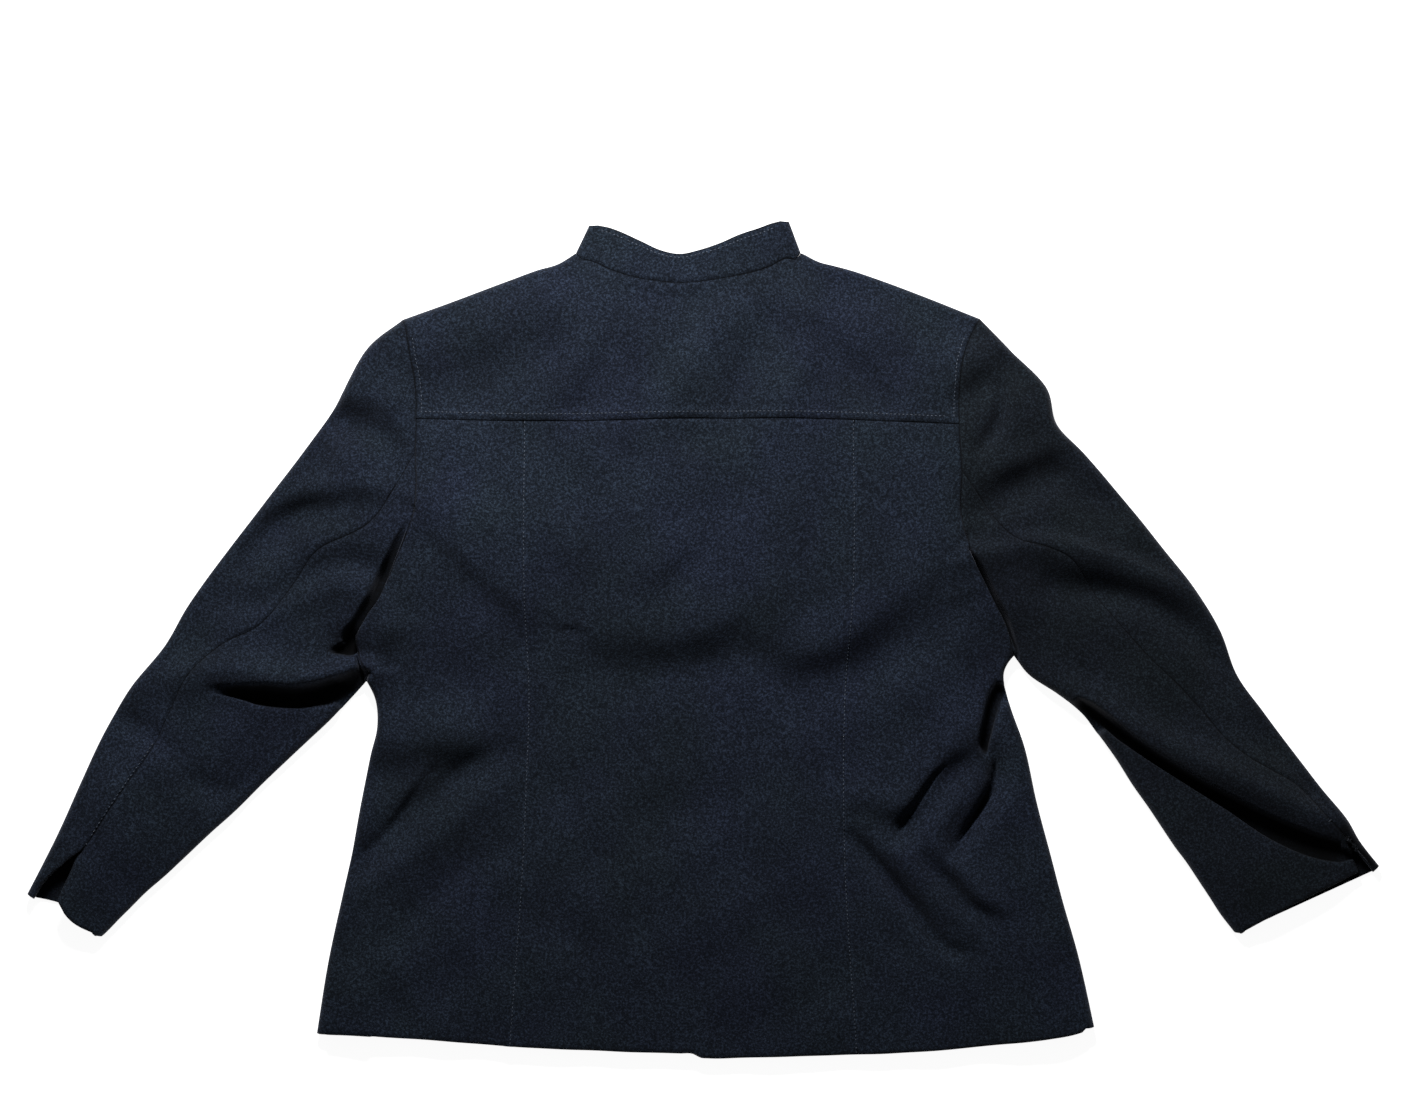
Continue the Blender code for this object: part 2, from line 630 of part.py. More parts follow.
def newell(points):
    """Area vector of a face."""
    total = np.zeros(3)
    for a, b in zip(points, points[1:] + points[:1]):
        total += np.cross(a, b)
    return total / 2


def shared_normals(pieces):
    """Outward direction at each point of the whole jacket, the same for every piece that meets there."""
    normals = {}
    for patches in pieces.values():
        for points, faces in patches:
            for face in faces:
                corners = [np.array(points[i]) for i in face]
                area = newell(corners)
                for spot in corners:
                    key = key_of(spot)
                    normals[key] = normals.get(key, np.zeros(3)) + area
    for key, normal in normals.items():
        down = key[2] < ON_SURFACE
        normals[key] = np.array([0.0, 0.0, -1.0]) if down else unit(normal)
    return normals


def join_patches(patches):
    """Points and faces of one piece, with the points that its patches share taken once."""
    index = {}
    points = []
    faces = []
    for patch_points, patch_faces in patches:
        for face in patch_faces:
            corners = []
            for i in face:
                key = key_of(patch_points[i])
                if key not in index:
                    index[key] = len(points)
                    points.append(np.array(patch_points[i], float))
                corners.append(index[key])
            faces.append(corners)
    return points, faces


def seam_shifts(points, faces, edges, normals):
    """How each point on a piece's edge moves in, so that half the seam gap is left."""
    inward = {}
    for a, b in edges:
        normal = unit(normals[key_of(points[a])] + normals[key_of(points[b])])
        left = unit(np.cross(normal, points[b] - points[a]))
        inward.setdefault(a, []).append(left)
        inward.setdefault(b, []).append(left)
    shifts = {}
    for i, ways in inward.items():
        first, second = ways[0], ways[-1]
        mitre = (first + second) / max(SHARPEST_MITRE, 1 + float(np.dot(first, second)))
        mitre[2] = 0.0 if points[i][2] < ON_SURFACE else mitre[2]
        shifts[i] = mitre * SEAM_GAP / 2
    return shifts


def wall(name, patches, normals, collection, colour):
    """One piece of cloth: its outer face, the inner face a wall's thickness inside, and its cut edges."""
    points, faces = join_patches(patches)
    directed = {(face[i], face[(i + 1) % len(face)]) for face in faces for i in range(len(face))}
    edges = [edge for edge in directed if (edge[1], edge[0]) not in directed]
    shifts = seam_shifts(points, faces, edges, normals)
    mesh = bmesh.new()
    outer = []
    inner = []
    for i, point in enumerate(points):
        moved = point + shifts.get(i, np.zeros(3))
        inside = moved - CLOTH * normals[key_of(point)]
        outer.append(mesh.verts.new(Vector(moved) * MM))
        inner.append(mesh.verts.new(Vector(inside) * MM))
    for face in faces:
        mesh.faces.new([outer[i] for i in face])
        mesh.faces.new([inner[i] for i in reversed(face)])
    for a, b in edges:
        mesh.faces.new([outer[b], outer[a], inner[a], inner[b]])
    data = bpy.data.meshes.new(name)
    mesh.to_mesh(data)
    mesh.free()
    piece = bpy.data.objects.new(name, data)
    collection.objects.link(piece)
    material = bpy.data.materials.new(name + "_wool")
    material.use_nodes = True
    shader = material.node_tree.nodes["Principled BSDF"]
    shader.inputs["Base Color"].default_value = (*colour, 1.0)
    shader.inputs["Roughness"].default_value = 0.95
    shader.inputs["Metallic"].default_value = 0.0
    data.materials.append(material)
    return piece


def body_patches(body):
    """The centre back and the side backs, with the rolls down the sides of the body."""
    left_seam = SIDE_COLUMNS
    right_seam = SIDE_COLUMNS + CENTRE_COLUMNS
    first_row = ROWS_ABOVE_ELBOW_SEAM + ROWS_TO_UNDERARM
    patches = {
        "centre_back": [grid_faces(body[:, left_seam:right_seam + 1])],
        "side_back_left": [grid_faces(body[:, :left_seam + 1])],
        "side_back_right": [grid_faces(body[:, right_seam:])],
    }
    for side in ("left", "right"):
        ends = body[first_row:, 0] if side == "left" else body[first_row:, -1]
        rolls = [roll(ends[0], corner_direction(side, "underarm"))]
        low = ends[0][1]
        heights = np.linspace(low, SIDE[side][0][0], ROWS_TO_HEM + 1)[1:]
        for end, y in zip(ends[1:], heights):
            rolls.append(roll(end, side_end(side, y)[1]))
        patches["side_back_" + side].append(grid_faces(np.array(rolls)))
    return patches


def yoke_patches(body):
    """The yoke, with the rolls over the shoulders."""
    patches = [grid_faces(yoke_grid(body))]
    for side in ("left", "right"):
        points, directions = shoulder_points(side)
        patches.append(grid_faces(np.array([roll(p, d) for p, d in zip(points, directions)])))
    return patches


def build_jacket():
    """Clears the scene and cuts every piece from the one form of the whole jacket."""
    for item in list(bpy.data.objects):
        bpy.data.objects.remove(item, do_unlink=True)
    collection = bpy.data.collections.new("cropped_jacket")
    bpy.context.scene.collection.children.link(collection)
    body = body_rows()
    pieces = body_patches(body)
    pieces["back_yoke"] = yoke_patches(body)
    collar_top_quad = FRONT_COLLAR_COLUMNS + ROLL_STEPS + 3
    pieces["collar_stand"] = [grid_faces(collar_grid(), collar_top_quad)]
    for side in ("left", "right"):
        upper, under = sleeve_grids(side)
        pieces["upper_sleeve_" + side] = [grid_faces(upper)]
        pieces["under_sleeve_" + side] = [grid_faces(under)]
        pieces["front_" + side] = [outline_face(front_outline(side, body))]
    normals = shared_normals(pieces)
    for name, patches in pieces.items():
        wall(name, patches, normals, collection, WOOL)


build_jacket()
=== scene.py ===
import math

import bmesh
import bpy
import numpy as np
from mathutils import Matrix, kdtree


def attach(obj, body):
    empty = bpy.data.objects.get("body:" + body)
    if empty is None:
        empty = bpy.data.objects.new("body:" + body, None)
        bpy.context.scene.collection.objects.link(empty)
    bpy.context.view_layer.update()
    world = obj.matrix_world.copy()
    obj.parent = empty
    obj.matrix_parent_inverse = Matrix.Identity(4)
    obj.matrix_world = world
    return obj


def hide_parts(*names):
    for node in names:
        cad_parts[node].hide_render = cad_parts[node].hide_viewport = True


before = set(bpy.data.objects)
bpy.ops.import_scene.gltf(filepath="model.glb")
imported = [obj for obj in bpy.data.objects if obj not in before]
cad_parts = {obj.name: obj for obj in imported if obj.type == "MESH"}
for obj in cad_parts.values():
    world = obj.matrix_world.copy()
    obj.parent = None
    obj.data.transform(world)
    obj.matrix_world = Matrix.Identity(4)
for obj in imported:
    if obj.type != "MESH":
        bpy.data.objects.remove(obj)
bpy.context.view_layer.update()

bpy.ops.object.select_all(action="DESELECT")

# Centre back: the panel between the two princess seams, from the yoke seam to the hem, of fulled wool crepe.
# It hangs from the yoke, breaks in a soft ridge across the waist and drops flat to the hem.
# How the whole jacket lies is worked out here first, in millimetres: x right, y to the collar, z up.

MM = 0.001
HANDS = ("left", "right")
CLOTH = 2.0             # the wool's thickness
ROLL = 6.5              # how far a folded edge bulges out past the cloth on top
ROLL_STEPS = 14         # flats round a folded edge
CELL = 2.0              # size of one facet of the cloth
PATH_STEPS = 6          # short lines for each stretch of a drawn fold
LOWEST = 5.4            # the top cloth never sinks below this
LOWEST_BLEND = 1.5      # how softly it comes to rest there
EDGE_SHARE = 0.66       # share of the full height that is left at a folded edge
EDGE_WIDTH = 45.0       # how far in from a folded edge the cloth reaches its full height
BODY_CENTRE = -12.0     # the middle of the body,
BODY_HALF = 205.0       # how far out from it the body's own height holds
SLEEVE_BLEND = 120.0    # and how far it then takes to become a sleeve's

# y, height of the body; distance out from the middle, height of a sleeve
CROWN = [(-320, 12), (-290, 14), (-230, 18), (-150, 19), (-60, 20), (-20, 22), (20, 28), (50, 31),
         (100, 33), (150, 32), (200, 28), (245, 23), (285, 19), (320, 17)]
SLEEVE_CROWN = [(200, 24), (280, 21), (360, 20), (430, 17), (520, 12)]

# Seams and edges of the body: y, x
SIDE = {
    "left": [(-299, -294), (-243, -285), (-188, -273), (-160, -267), (-122, -260), (-87, -253),
             (-67, -248), (-46, -249), (-31, -254)],
    "right": [(-294, 297), (-240, 285), (-198, 273), (-160, 263), (-122, 253), (-81, 244),
              (-46, 232), (-24, 228), (-12, 232)],
}
ARMHOLE = {
    "left": [(217, -222), (195, -218), (167, -217), (142, -218), (119, -217), (97, -219), (76, -226),
             (61, -231), (36, -244), (17, -257), (0, -262)],
    "right": [(228, 201), (213, 196), (192, 194), (163, 193), (128, 195), (97, 195), (76, 200),
              (61, 206), (31, 221), (14, 229)],
}
PRINCESS = {
    "left": [(-308, -148), (-153, -137), (-104, -135), (-49, -133), (30, -136), (166, -136)],
    "right": [(-308, 117), (-166, 108), (-44, 108), (44, 114), (166, 114)],
}
# x, y
YOKE_SEAM = [(-218, 168), (-129, 166), (-5, 168), (76, 168), (192, 164)]
BACK_HEM = [(-294, -299), (-261, -300), (-231, -302), (-193, -305), (-155, -308), (-79, -312),
            (-18, -314), (-8, -314.3), (-2, -317.2), (4, -317.6), (28, -317.2), (111, -315), (187, -311),
            (225, -307), (263, -302.5), (285, -298.5), (297, -294.5)]
SHOULDER = {
    "left": [(-228, 243), (-187, 258), (-145, 274), (-126, 281), (-110, 286), (-97, 294)],
    "right": [(75, 294), (89, 287), (97, 285), (112, 281), (133, 274), (175, 258), (210, 244)],
}
SHOULDER_POINT = {"left": (-228, 243), "right": (210, 244)}
UNDERARM = {"left": (-256, -31), "right": (236, -12)}
NECK_POINT = {"left": (-97, 294), "right": (74, 294)}
COLLAR_TIP = {"left": (-87, 315), "right": (65, 318)}

# Sleeves, each row one line across: outer fold x, y, elbow seam x, y, inner fold x, y
SLEEVE = {
    "left": [
        (-228, 243, -218, 142, -256, -31), (-256, 220, -250, 92, -267, -43),
        (-280, 177, -291, 69, -284, -61), (-307, 139, -310, 44, -300, -76),
        (-337, 100, -336, 12, -316, -91), (-367, 61, -364, -2, -336, -110),
        (-392, 26, -389, -24, -356, -130), (-410, -5, -404, -52, -375, -147),
        (-436, -37, -419, -83, -394, -165), (-456, -71, -434, -105, -409, -179),
        (-472, -106, -451, -130, -424, -192), (-489, -144, -468, -155, -439, -207),
        (-501, -168, -482, -166, -450, -217), (-514, -193, -503, -184, -459, -224),
    ],
    "right": [
        (210, 244, 195, 128, 236, -12), (233, 220, 229, 83, 248, -27),
        (260, 192, 259, 71, 269, -41), (268, 164, 279, 60, 288, -56),
        (290, 141, 300, 31, 301, -73), (320, 106, 320, 7, 314, -91),
        (348, 71, 339, -14, 326, -110), (373, 39, 359, -33, 338, -127),
        (393, 7, 377, -52, 348, -142), (406, -27, 394, -72, 358, -157),
        (426, -55, 412, -87, 367, -169), (450, -87, 431, -98, 377, -184),
        (470, -113, 452, -111, 385, -196), (488, -135, 477, -138, 392, -207),
        (499, -153, 489, -151, 398, -215), (514, -172, 504, -168, 406, -225),
    ],
}

# Folds: spread on the left of the path, spread on its right, path of x, y, rise
FOLDS = [
    # the yoke: soft folds that run down from the shoulders to its seam
    (15, 15, [(24, 258, 2.4), (6, 232, 6), (-24, 186, 4.6)]),
    (13, 13, [(49, 239, -2.6), (34, 209, -6.2), (19, 179, -4.2)]),
    (13, 13, [(73, 258, 2.4), (78, 224, 5.6), (66, 184, 4.2)]),
    (13, 15, [(85, 232, -3.8), (108, 209, -7), (134, 181, -5)]),
    (14, 14, [(-79, 266, 1.6), (-85, 232, 4.4), (-101, 190, 3.2)]),
    (12, 12, [(-73, 217, -3.2), (-92, 179, -4.2)]),
    (10, 10, [(-79, 270, -0.8), (-41, 261, -1.6), (-10, 258, -1.8), (24, 268, -1.2), (44, 283, -0.6)]),
    (22, 22, [(-200, 194, -3.4), (-155, 204, -3.6), (-117, 220, -2.2)]),
    (30, 24, [(-225, 234, 9), (-177, 248, 10), (-124, 264, 6), (-98, 274, 2)]),
    (22, 22, [(172, 236, 2), (195, 205, 1.4)]),
    # the shoulder blades
    (30, 12, [(-208, 92, 3), (-190, 76, 5.6), (-170, 58, 6.4), (-149, 38, 5.2), (-130, 27, 2.4)]),
    (30, 24, [(-206, 105, 5.5), (-170, 99, 5.5), (-132, 91, 4)]),
    (15, 15, [(-189, 154, 2), (-170, 135, 2.2)]),
    (15, 15, [(-124, 152, -2.2), (-103, 106, -2)]),
    (30, 26, [(-109, 70, 3.4), (-48, 64, 3.8), (43, 64, 3.2)]),
    (13, 13, [(-41, 30, -1.4), (-16, 50, -4.2), (0, 67, -4.4), (7, 91, -1.6)]),
    (13, 13, [(-12, 148, -2.2), (24, 161, -2.2)]),
    # the ridge across the middle of the back and the hollow under it
    (32, 15, [(-79, 8, 3.4), (-41, 5, 5), (-10, 8, 5.4), (11, 17, 5.2), (32, 26, 4.4), (47, 9, 4.8),
              (72, -5, 5.2), (96, 0, 5.4), (113, 12, 5.6), (134, 29, 5.4), (153, 44, 4.8), (178, 64, 2.6)]),
    (16, 22, [(-79, -24, -2.4), (-41, -26, -3.8), (1, -21, -3.8), (32, -12, -3), (51, -29, -3.2),
              (73, -33, -3.4), (111, -26, -3.6), (138, -9, -3.8), (161, 8, -3.6), (187, 21, -2.8),
              (210, 30, -1.6)]),
    (5, 5, [(184, 32, 0.9), (209, 41, 1.1)]),
    (10, 10, [(-247, 0, 2.2), (-231, 11, 2.6), (-212, 6, 1.6)]),
    # left of the waist
    (4, 4, [(-206, -99, -1.6), (-222, -120, -2.8), (-235, -141, -2.8), (-256, -162, -2)]),
    (22, 18, [(-243, -70, 5), (-208, -70, 5.4), (-177, -73, 4.6), (-155, -73, 2)]),
    (15, 10, [(-156, -84, -3), (-180, -99, -6), (-203, -114, -8), (-227, -134, -8), (-252, -160, -6.6),
              (-267, -175, -5)]),
    (13, 13, [(-249, -103, -3.6), (-212, -97, -4), (-181, -93, -2.4)]),
    (11, 14, [(-155, -111, 1.6), (-185, -134, 3.6), (-223, -163, 3.8), (-267, -190, 2.6)]),
    (14, 14, [(-151, -158, -2), (-181, -171, -3.6), (-212, -198, -4.4), (-231, -228, -3)]),
    (4, 4, [(-210, -95, 0.8), (-222, -112, 1.4), (-237, -135, 0.9)]),
    # right of the waist: the deep creases at the side and the drag lines under them
    (22, 22, [(168, -38, 3), (195, -62, 4)]),
    (12, 12, [(186, -85, 3), (166, -116, 5.2), (143, -125, 5.2), (119, -120, 2.6)]),
    (12, 10, [(206, -88, -3), (192, -96, -5.6), (178, -111, -7.2), (165, -128, -7.4), (152, -143, -6.2),
              (143, -146, -5.2), (125, -131, -3.4)]),
    (9, 9, [(204, -108, 2), (189, -123, 4.6), (172, -147, 3.2)]),
    (8, 8, [(219, -76, 0), (221, -87, -3), (222, -108, -8.5), (214, -128, -9), (202, -144, -7),
            (190, -161, -3.6)]),
    (9, 9, [(128, -140, 2.6), (146, -157, 5.6), (163, -178, 5.6), (178, -198, 4.4), (201, -216, 2)]),
    (6, 7, [(113, -149, -4), (128, -166, -9), (143, -185, -10), (160, -205, -8.6), (181, -231, -5.6),
            (204, -239, -2)]),
    (8, 8, [(177, -160, 3), (193, -173, 5.4), (210, -192, 5), (227, -204, 2.4)]),
    (7, 8, [(169, -167, -3), (186, -185, -5.6), (203, -204, -5.4), (219, -211, -2.4), (231, -208, -0.8)]),
    # soft dips over the hem
    (20, 20, [(-48, -131, -1.8), (-3, -122, -2.2), (37, -126, -1.8)]),
    (18, 18, [(-146, -204, -2.2), (-118, -213, -2.6), (-91, -228, -1.8)]),
    (26, 26, [(51, -182, -2.4), (73, -220, -3), (96, -262, -2.2)]),
    (24, 24, [(-10, -175, 2), (24, -220, 2.4), (43, -262, 1.8)]),
    # left sleeve head and upper arm
    (14, 12, [(-291, 169, -5), (-270, 166, -8), (-250, 158, -9), (-235, 146, -8), (-228, 122, -5)]),
    (16, 12, [(-284, 192, 3), (-261, 185, 4), (-242, 182, 3)]),
    (18, 24, [(-228, 224, 4), (-250, 213, 7), (-270, 188, 4)]),
    (12, 12, [(-272, 138, 1.6), (-250, 120, 2), (-237, 106, 1.6)]),
    (12, 14, [(-348, 59, -4), (-329, 81, -9), (-308, 96, -10), (-276, 100, -5.6), (-231, 103, -2.6)]),
    (10, 10, [(-352, 80, 2), (-326, 100, 3.6), (-291, 114, 3.6), (-246, 116, 1.6)]),
    (11, 11, [(-371, 29, -2), (-333, 30, -3.8), (-307, 46, -4.2), (-280, 59, -4.4), (-250, 55, -5),
              (-240, 42, -4)]),
    (10, 10, [(-345, 14, 1.8), (-307, 30, 3), (-272, 42, 3.2), (-250, 36, 2)]),
    # the left elbow: the fold that hangs over, the pit at the underarm, and the soft dips of the forearm
    (11, 10, [(-282, 14, -2.4), (-278, 3, -5), (-271, -6, -6)]),
    (15, 16, [(-421, -33, 3.6), (-394, -27, 6), (-371, -24, 9), (-356, -24, 11), (-336, -26, 12),
              (-316, -29, 12), (-301, -27, 10), (-282, -21, 0)]),
    (7, 14, [(-313, -30, 0), (-296, -28, 6), (-281, -24, 10), (-267, -21, 10), (-252, -21, 8)]),
    (11, 11, [(-445, -58, -3.8), (-421, -71, -4.2), (-399, -85, -2.4)]),
    (11, 11, [(-390, -106, -2.4), (-360, -114, -3.8), (-336, -100, -2.4)]),
    (42, 42, [(-458, -125, 8), (-486, -205, 8)]),
    # right sleeve head
    (12, 12, [(195, 181, -5.4), (209, 192, -8.6), (225, 205, -5.4)]),
    (6, 6, [(226, 192, -4.4), (225, 173, -7.6), (219, 158, -7.6), (209, 146, -4.4)]),
    (13, 13, [(218, 182, -2), (213, 160, -2)]),
    (15, 15, [(216, 216, 3.4), (230, 182, 3.4), (244, 160, 2)]),
    (16, 15, [(204, 94, -7.4), (218, 102, -10), (233, 111, -11), (256, 122, -9.6), (280, 131, -5.4)]),
    (10, 10, [(214, 125, 2.4), (233, 135, 3.8), (259, 146, 2.8)]),
    (15, 15, [(272, 119, -4.6), (294, 109, -7.6), (315, 100, -5.6)]),
    (26, 22, [(241, 211, 4), (260, 182, 7), (289, 152, 7), (324, 112, 7), (359, 61, 5), (377, 23, 3)]),
    (7, 7, [(199, 78, -2.6), (225, 76, -3.2)]),
    (8, 15, [(200, 64, 4.4), (233, 71, 7), (265, 73, 8.2), (298, 65, 8.6), (332, 53, 8.2), (362, 36, 6),
             (380, 14, 3)]),
    (12, 12, [(265, 41, -5), (301, 36, -9), (339, 27, -10), (377, 3, -8.4), (394, -18, -4.4)]),
    # the long fold of the right forearm that hangs over
    (14, 14, [(265, -33, 5), (285, -43, 9), (301, -52, 11), (339, -74, 12), (377, -93, 13), (415, -109, 13),
              (453, -128, 12), (484, -141, 9), (500, -150, 5)]),
    (10, 10, [(404, -82, 3), (424, -93, 3.8), (450, -105, 2.6)]),
    (24, 24, [(362, -160, 2), (415, -182, 2.4)]),
]

# Lips, where one fold hangs over a pocket on the left of the path:
# depth of the pocket, its reach, how far the lip leans over it, path of x, y, share of all that
LIPS = [
    # the left elbow
    (20, 22, 2.2, [(-378.9, -39.5, 0), (-365.9, -41.8, 0.15), (-350.7, -46.4, 0.6), (-335.5, -51.7, 1),
                   (-310.5, -54, 1), (-291.5, -51.7, 1), (-273.2, -44.1, 0.9), (-262.6, -35.7, 0.6),
                   (-255, -29.6, 0.4), (-248.9, -24.3, 0)]),
    # the right forearm
    (20, 12, 1.5, [(274, -45.6, 0), (284.6, -51.7, 0.7), (299.8, -63.1, 0.9), (323.4, -83.6, 1),
                   (362.9, -109.4, 1), (397.9, -131.5, 1.3), (426, -150.5, 1.9), (456.4, -164.9, 2.1),
                   (480.7, -170.2, 1.8), (491.3, -168.7, 0.8), (498.9, -165.7, 0)]),
    # the right side of the body
    (15, 12.5, 1.2, [(215.5, -88.9, 0), (217.7, -79.8, 0.8), (222.3, -62.3, 1), (226.1, -47.1, 1),
                     (229.9, -35.7, 0.8), (232.2, -25.8, 0)]),
    # the two deep creases below it
    (7, 8, 0.6, [(189.6, -161.9, 0), (203.3, -142.9, 0.6), (214.7, -126.9, 1), (221.5, -114.8, 1),
                 (223.8, -100.3, 0.8), (222.3, -88.9, 0)]),
    (4.5, 8, 0.5, [(140.2, -159.6, 0), (150.1, -145.9, 0.5), (158.5, -133.8, 0.9), (169.1, -117.8, 1),
                   (178.2, -103.4, 0.7), (187.3, -92.7, 0)]),
    # the pit at the left underarm and, up from it, under the armhole seam
    (13, 13, 1, [(-285.4, -9.9, 0), (-277.8, -11.4, 0.7), (-268.7, -12.9, 1.4), (-261.8, -9.9, 1.5),
                 (-262.6, -3, 1.3), (-262.6, 3, 0.9), (-258.8, 9.9, 0.7), (-252.7, 19.8, 0.7),
                 (-245.1, 30.4, 0.8), (-239, 44.1, 0.8), (-232.9, 59.3, 0.6), (-226.9, 74.5, 0.4),
                 (-221.5, 89.7, 0)]),
    (6, 3, 0.3, [(-255, -33.4, 0), (-256.5, -28.1, 0.8), (-258.8, -21.3, 1), (-260.3, -16, 1),
                 (-261.8, -11.4, 0)]),
    # under the right armhole seam
    (14, 6, 1, [(197.2, 73.7, 0), (204.8, 57, 0.8), (211.7, 43.3, 1), (218.5, 29.6, 1), (226.1, 15.2, 1),
                (232.9, 0, 0.6), (238.3, -12.2, 0.2), (239.8, -18.2, 0)]),
]
LIP_START = 0.2         # how far before the path the wall under a lip starts to fall
LIP_STEP = 1.0          # and how far it takes
LIP_ROUND = 1.6         # how far behind a lip its edge rounds down
LIP_ROUND_END = 0.3     # and how far past it that ends
LIP_CLOSE = 0.75        # how much closer the facets lie beside a lip
LIP_CLOSE_REACH = 6.0
LIP_CLOSE_RISE = 3      # how fast they draw in as the lip's share rises
LIP_BEHIND = 8.0        # how far behind a lip the cloth leans with it
LIP_UNDER = 1.2         # and how far under it
LIP_FADE = 7.0          # how far from a folded edge a lip leans fully
POCKET_FLOOR = 0.5      # share of a pocket's reach that is its flat floor
POCKET_TAPER = 0.35     # share of its reach that is left where it ends

# Slight waves all over the cloth: length across x, across y, start, height
WAVES = [(61, 83, 0.4, 0.35), (-97, 71, 1.9, 0.4), (143, -57, 3.1, 0.35), (47, 131, 5.0, 0.25),
         (-39, -44, 2.2, 0.15)]
FADED = 3               # a fold has died out this many times its spread away


def smooth(rows, key):
    """Value of a two-column table at a key, on a smooth curve through its rows."""
    rows = sorted(rows)
    keys = np.array([row[0] for row in rows], float)
    values = np.array([row[1] for row in rows], float)
    slopes = np.gradient(values, keys)
    at = np.clip(np.asarray(key, float), keys[0], keys[-1])
    span = np.clip(np.searchsorted(keys, at, side="right") - 1, 0, len(keys) - 2)
    width = keys[span + 1] - keys[span]
    t = (at - keys[span]) / width
    start = values[span] * (1 + 2 * t) * (1 - t) ** 2 + slopes[span] * width * t * (1 - t) ** 2
    end = values[span + 1] * t ** 2 * (3 - 2 * t) + slopes[span + 1] * width * t ** 2 * (t - 1)
    return start + end


def ease(t):
    """Soft step from 0 to 1."""
    t = np.clip(t, 0.0, 1.0)
    return t * t * (3 - 2 * t)


def unit(vector):
    """The vector at length 1."""
    vector = np.asarray(vector, float)
    return vector / np.linalg.norm(vector)


def drawn(path):
    """A path drawn smoothly through its points."""
    points = np.array(path, float)
    at = np.linspace(0, len(points) - 1, PATH_STEPS * (len(points) - 1) + 1)
    columns = [smooth(list(enumerate(points[:, i])), at) for i in range(points.shape[1])]
    return np.stack(columns, axis=-1)


def beside(path, x, y):
    """Distance from a path, its side (+1 is its left), its third value there, and the way to its left."""
    away = np.full(x.shape, np.inf)
    side = np.ones(x.shape)
    value = np.zeros(x.shape)
    left_x = np.zeros(x.shape)
    left_y = np.zeros(x.shape)
    for a, b in zip(path[:-1], path[1:]):
        dx = b[0] - a[0]
        dy = b[1] - a[1]
        length = math.hypot(dx, dy)
        t = np.clip(((x - a[0]) * dx + (y - a[1]) * dy) / length ** 2, 0, 1)
        far = np.hypot(x - a[0] - t * dx, y - a[1] - t * dy)
        nearer = far < away
        away = np.where(nearer, far, away)
        side = np.where(nearer, np.sign(dx * (y - a[1]) - dy * (x - a[0])), side)
        value = np.where(nearer, a[2] + (b[2] - a[2]) * t, value)
        left_x = np.where(nearer, -dy / length, left_x)
        left_y = np.where(nearer, dx / length, left_y)
    return away, side, value, left_x, left_y


def near(path, x, y, reach):
    """The points within reach of the box round a path."""
    low = path.min(axis=0) - reach
    high = path.max(axis=0) + reach
    return (x > low[0]) & (x < high[0]) & (y > low[1]) & (y < high[1])


def sleeve_line(side, which, row):
    """Point on a sleeve's outer fold (0), elbow seam (1) or inner fold (2), at a row of its table."""
    table = SLEEVE[side]
    x = smooth([(i, line[2 * which]) for i, line in enumerate(table)], row)
    y = smooth([(i, line[2 * which + 1]) for i, line in enumerate(table)], row)
    return np.array([x, y])


EDGES = []
for hand in HANDS:
    for line_name in (0, 2):
        EDGES.append([(*sleeve_line(hand, line_name, row), 0) for row in range(len(SLEEVE[hand]))])
    EDGES.append([(x, y, 0) for y, x in SIDE[hand]])
    EDGES.append([(x, y, 0) for x, y in SHOULDER[hand]])
    EDGES.append([(*NECK_POINT[hand], 0), (*COLLAR_TIP[hand], 0)])
FOLD_PATHS = [(left, right, drawn(path)) for left, right, path in FOLDS]
LIP_PATHS = [(depth, reach, lean, drawn(path)) for depth, reach, lean, path in LIPS]


def from_edges(x, y):
    """Distance from the nearest folded edge."""
    return np.min([beside(path, x, y)[0] for path in EDGES], axis=0)


def lay(x, y):
    """Height of the cloth on top, before the pockets under the lips."""
    out = ease((np.abs(x - BODY_CENTRE) - BODY_HALF) / SLEEVE_BLEND)
    height = smooth(CROWN, y) * (1 - out) + smooth(SLEEVE_CROWN, np.abs(x)) * out
    height = height * (EDGE_SHARE + (1 - EDGE_SHARE) * ease(from_edges(x, y) / EDGE_WIDTH))
    for left, right, path in FOLD_PATHS:
        close = near(path, x, y, FADED * max(left, right))
        if close.any():
            away, turn, rise, _, _ = beside(path, x[close], y[close])
            spread = np.where(turn > 0, left, right)
            height[close] += rise * np.exp(-(away / spread) ** 2)
    for long_x, long_y, start, rise in WAVES:
        height += rise * np.sin(2 * math.pi * (x / long_x + y / long_y) + start)
    return height


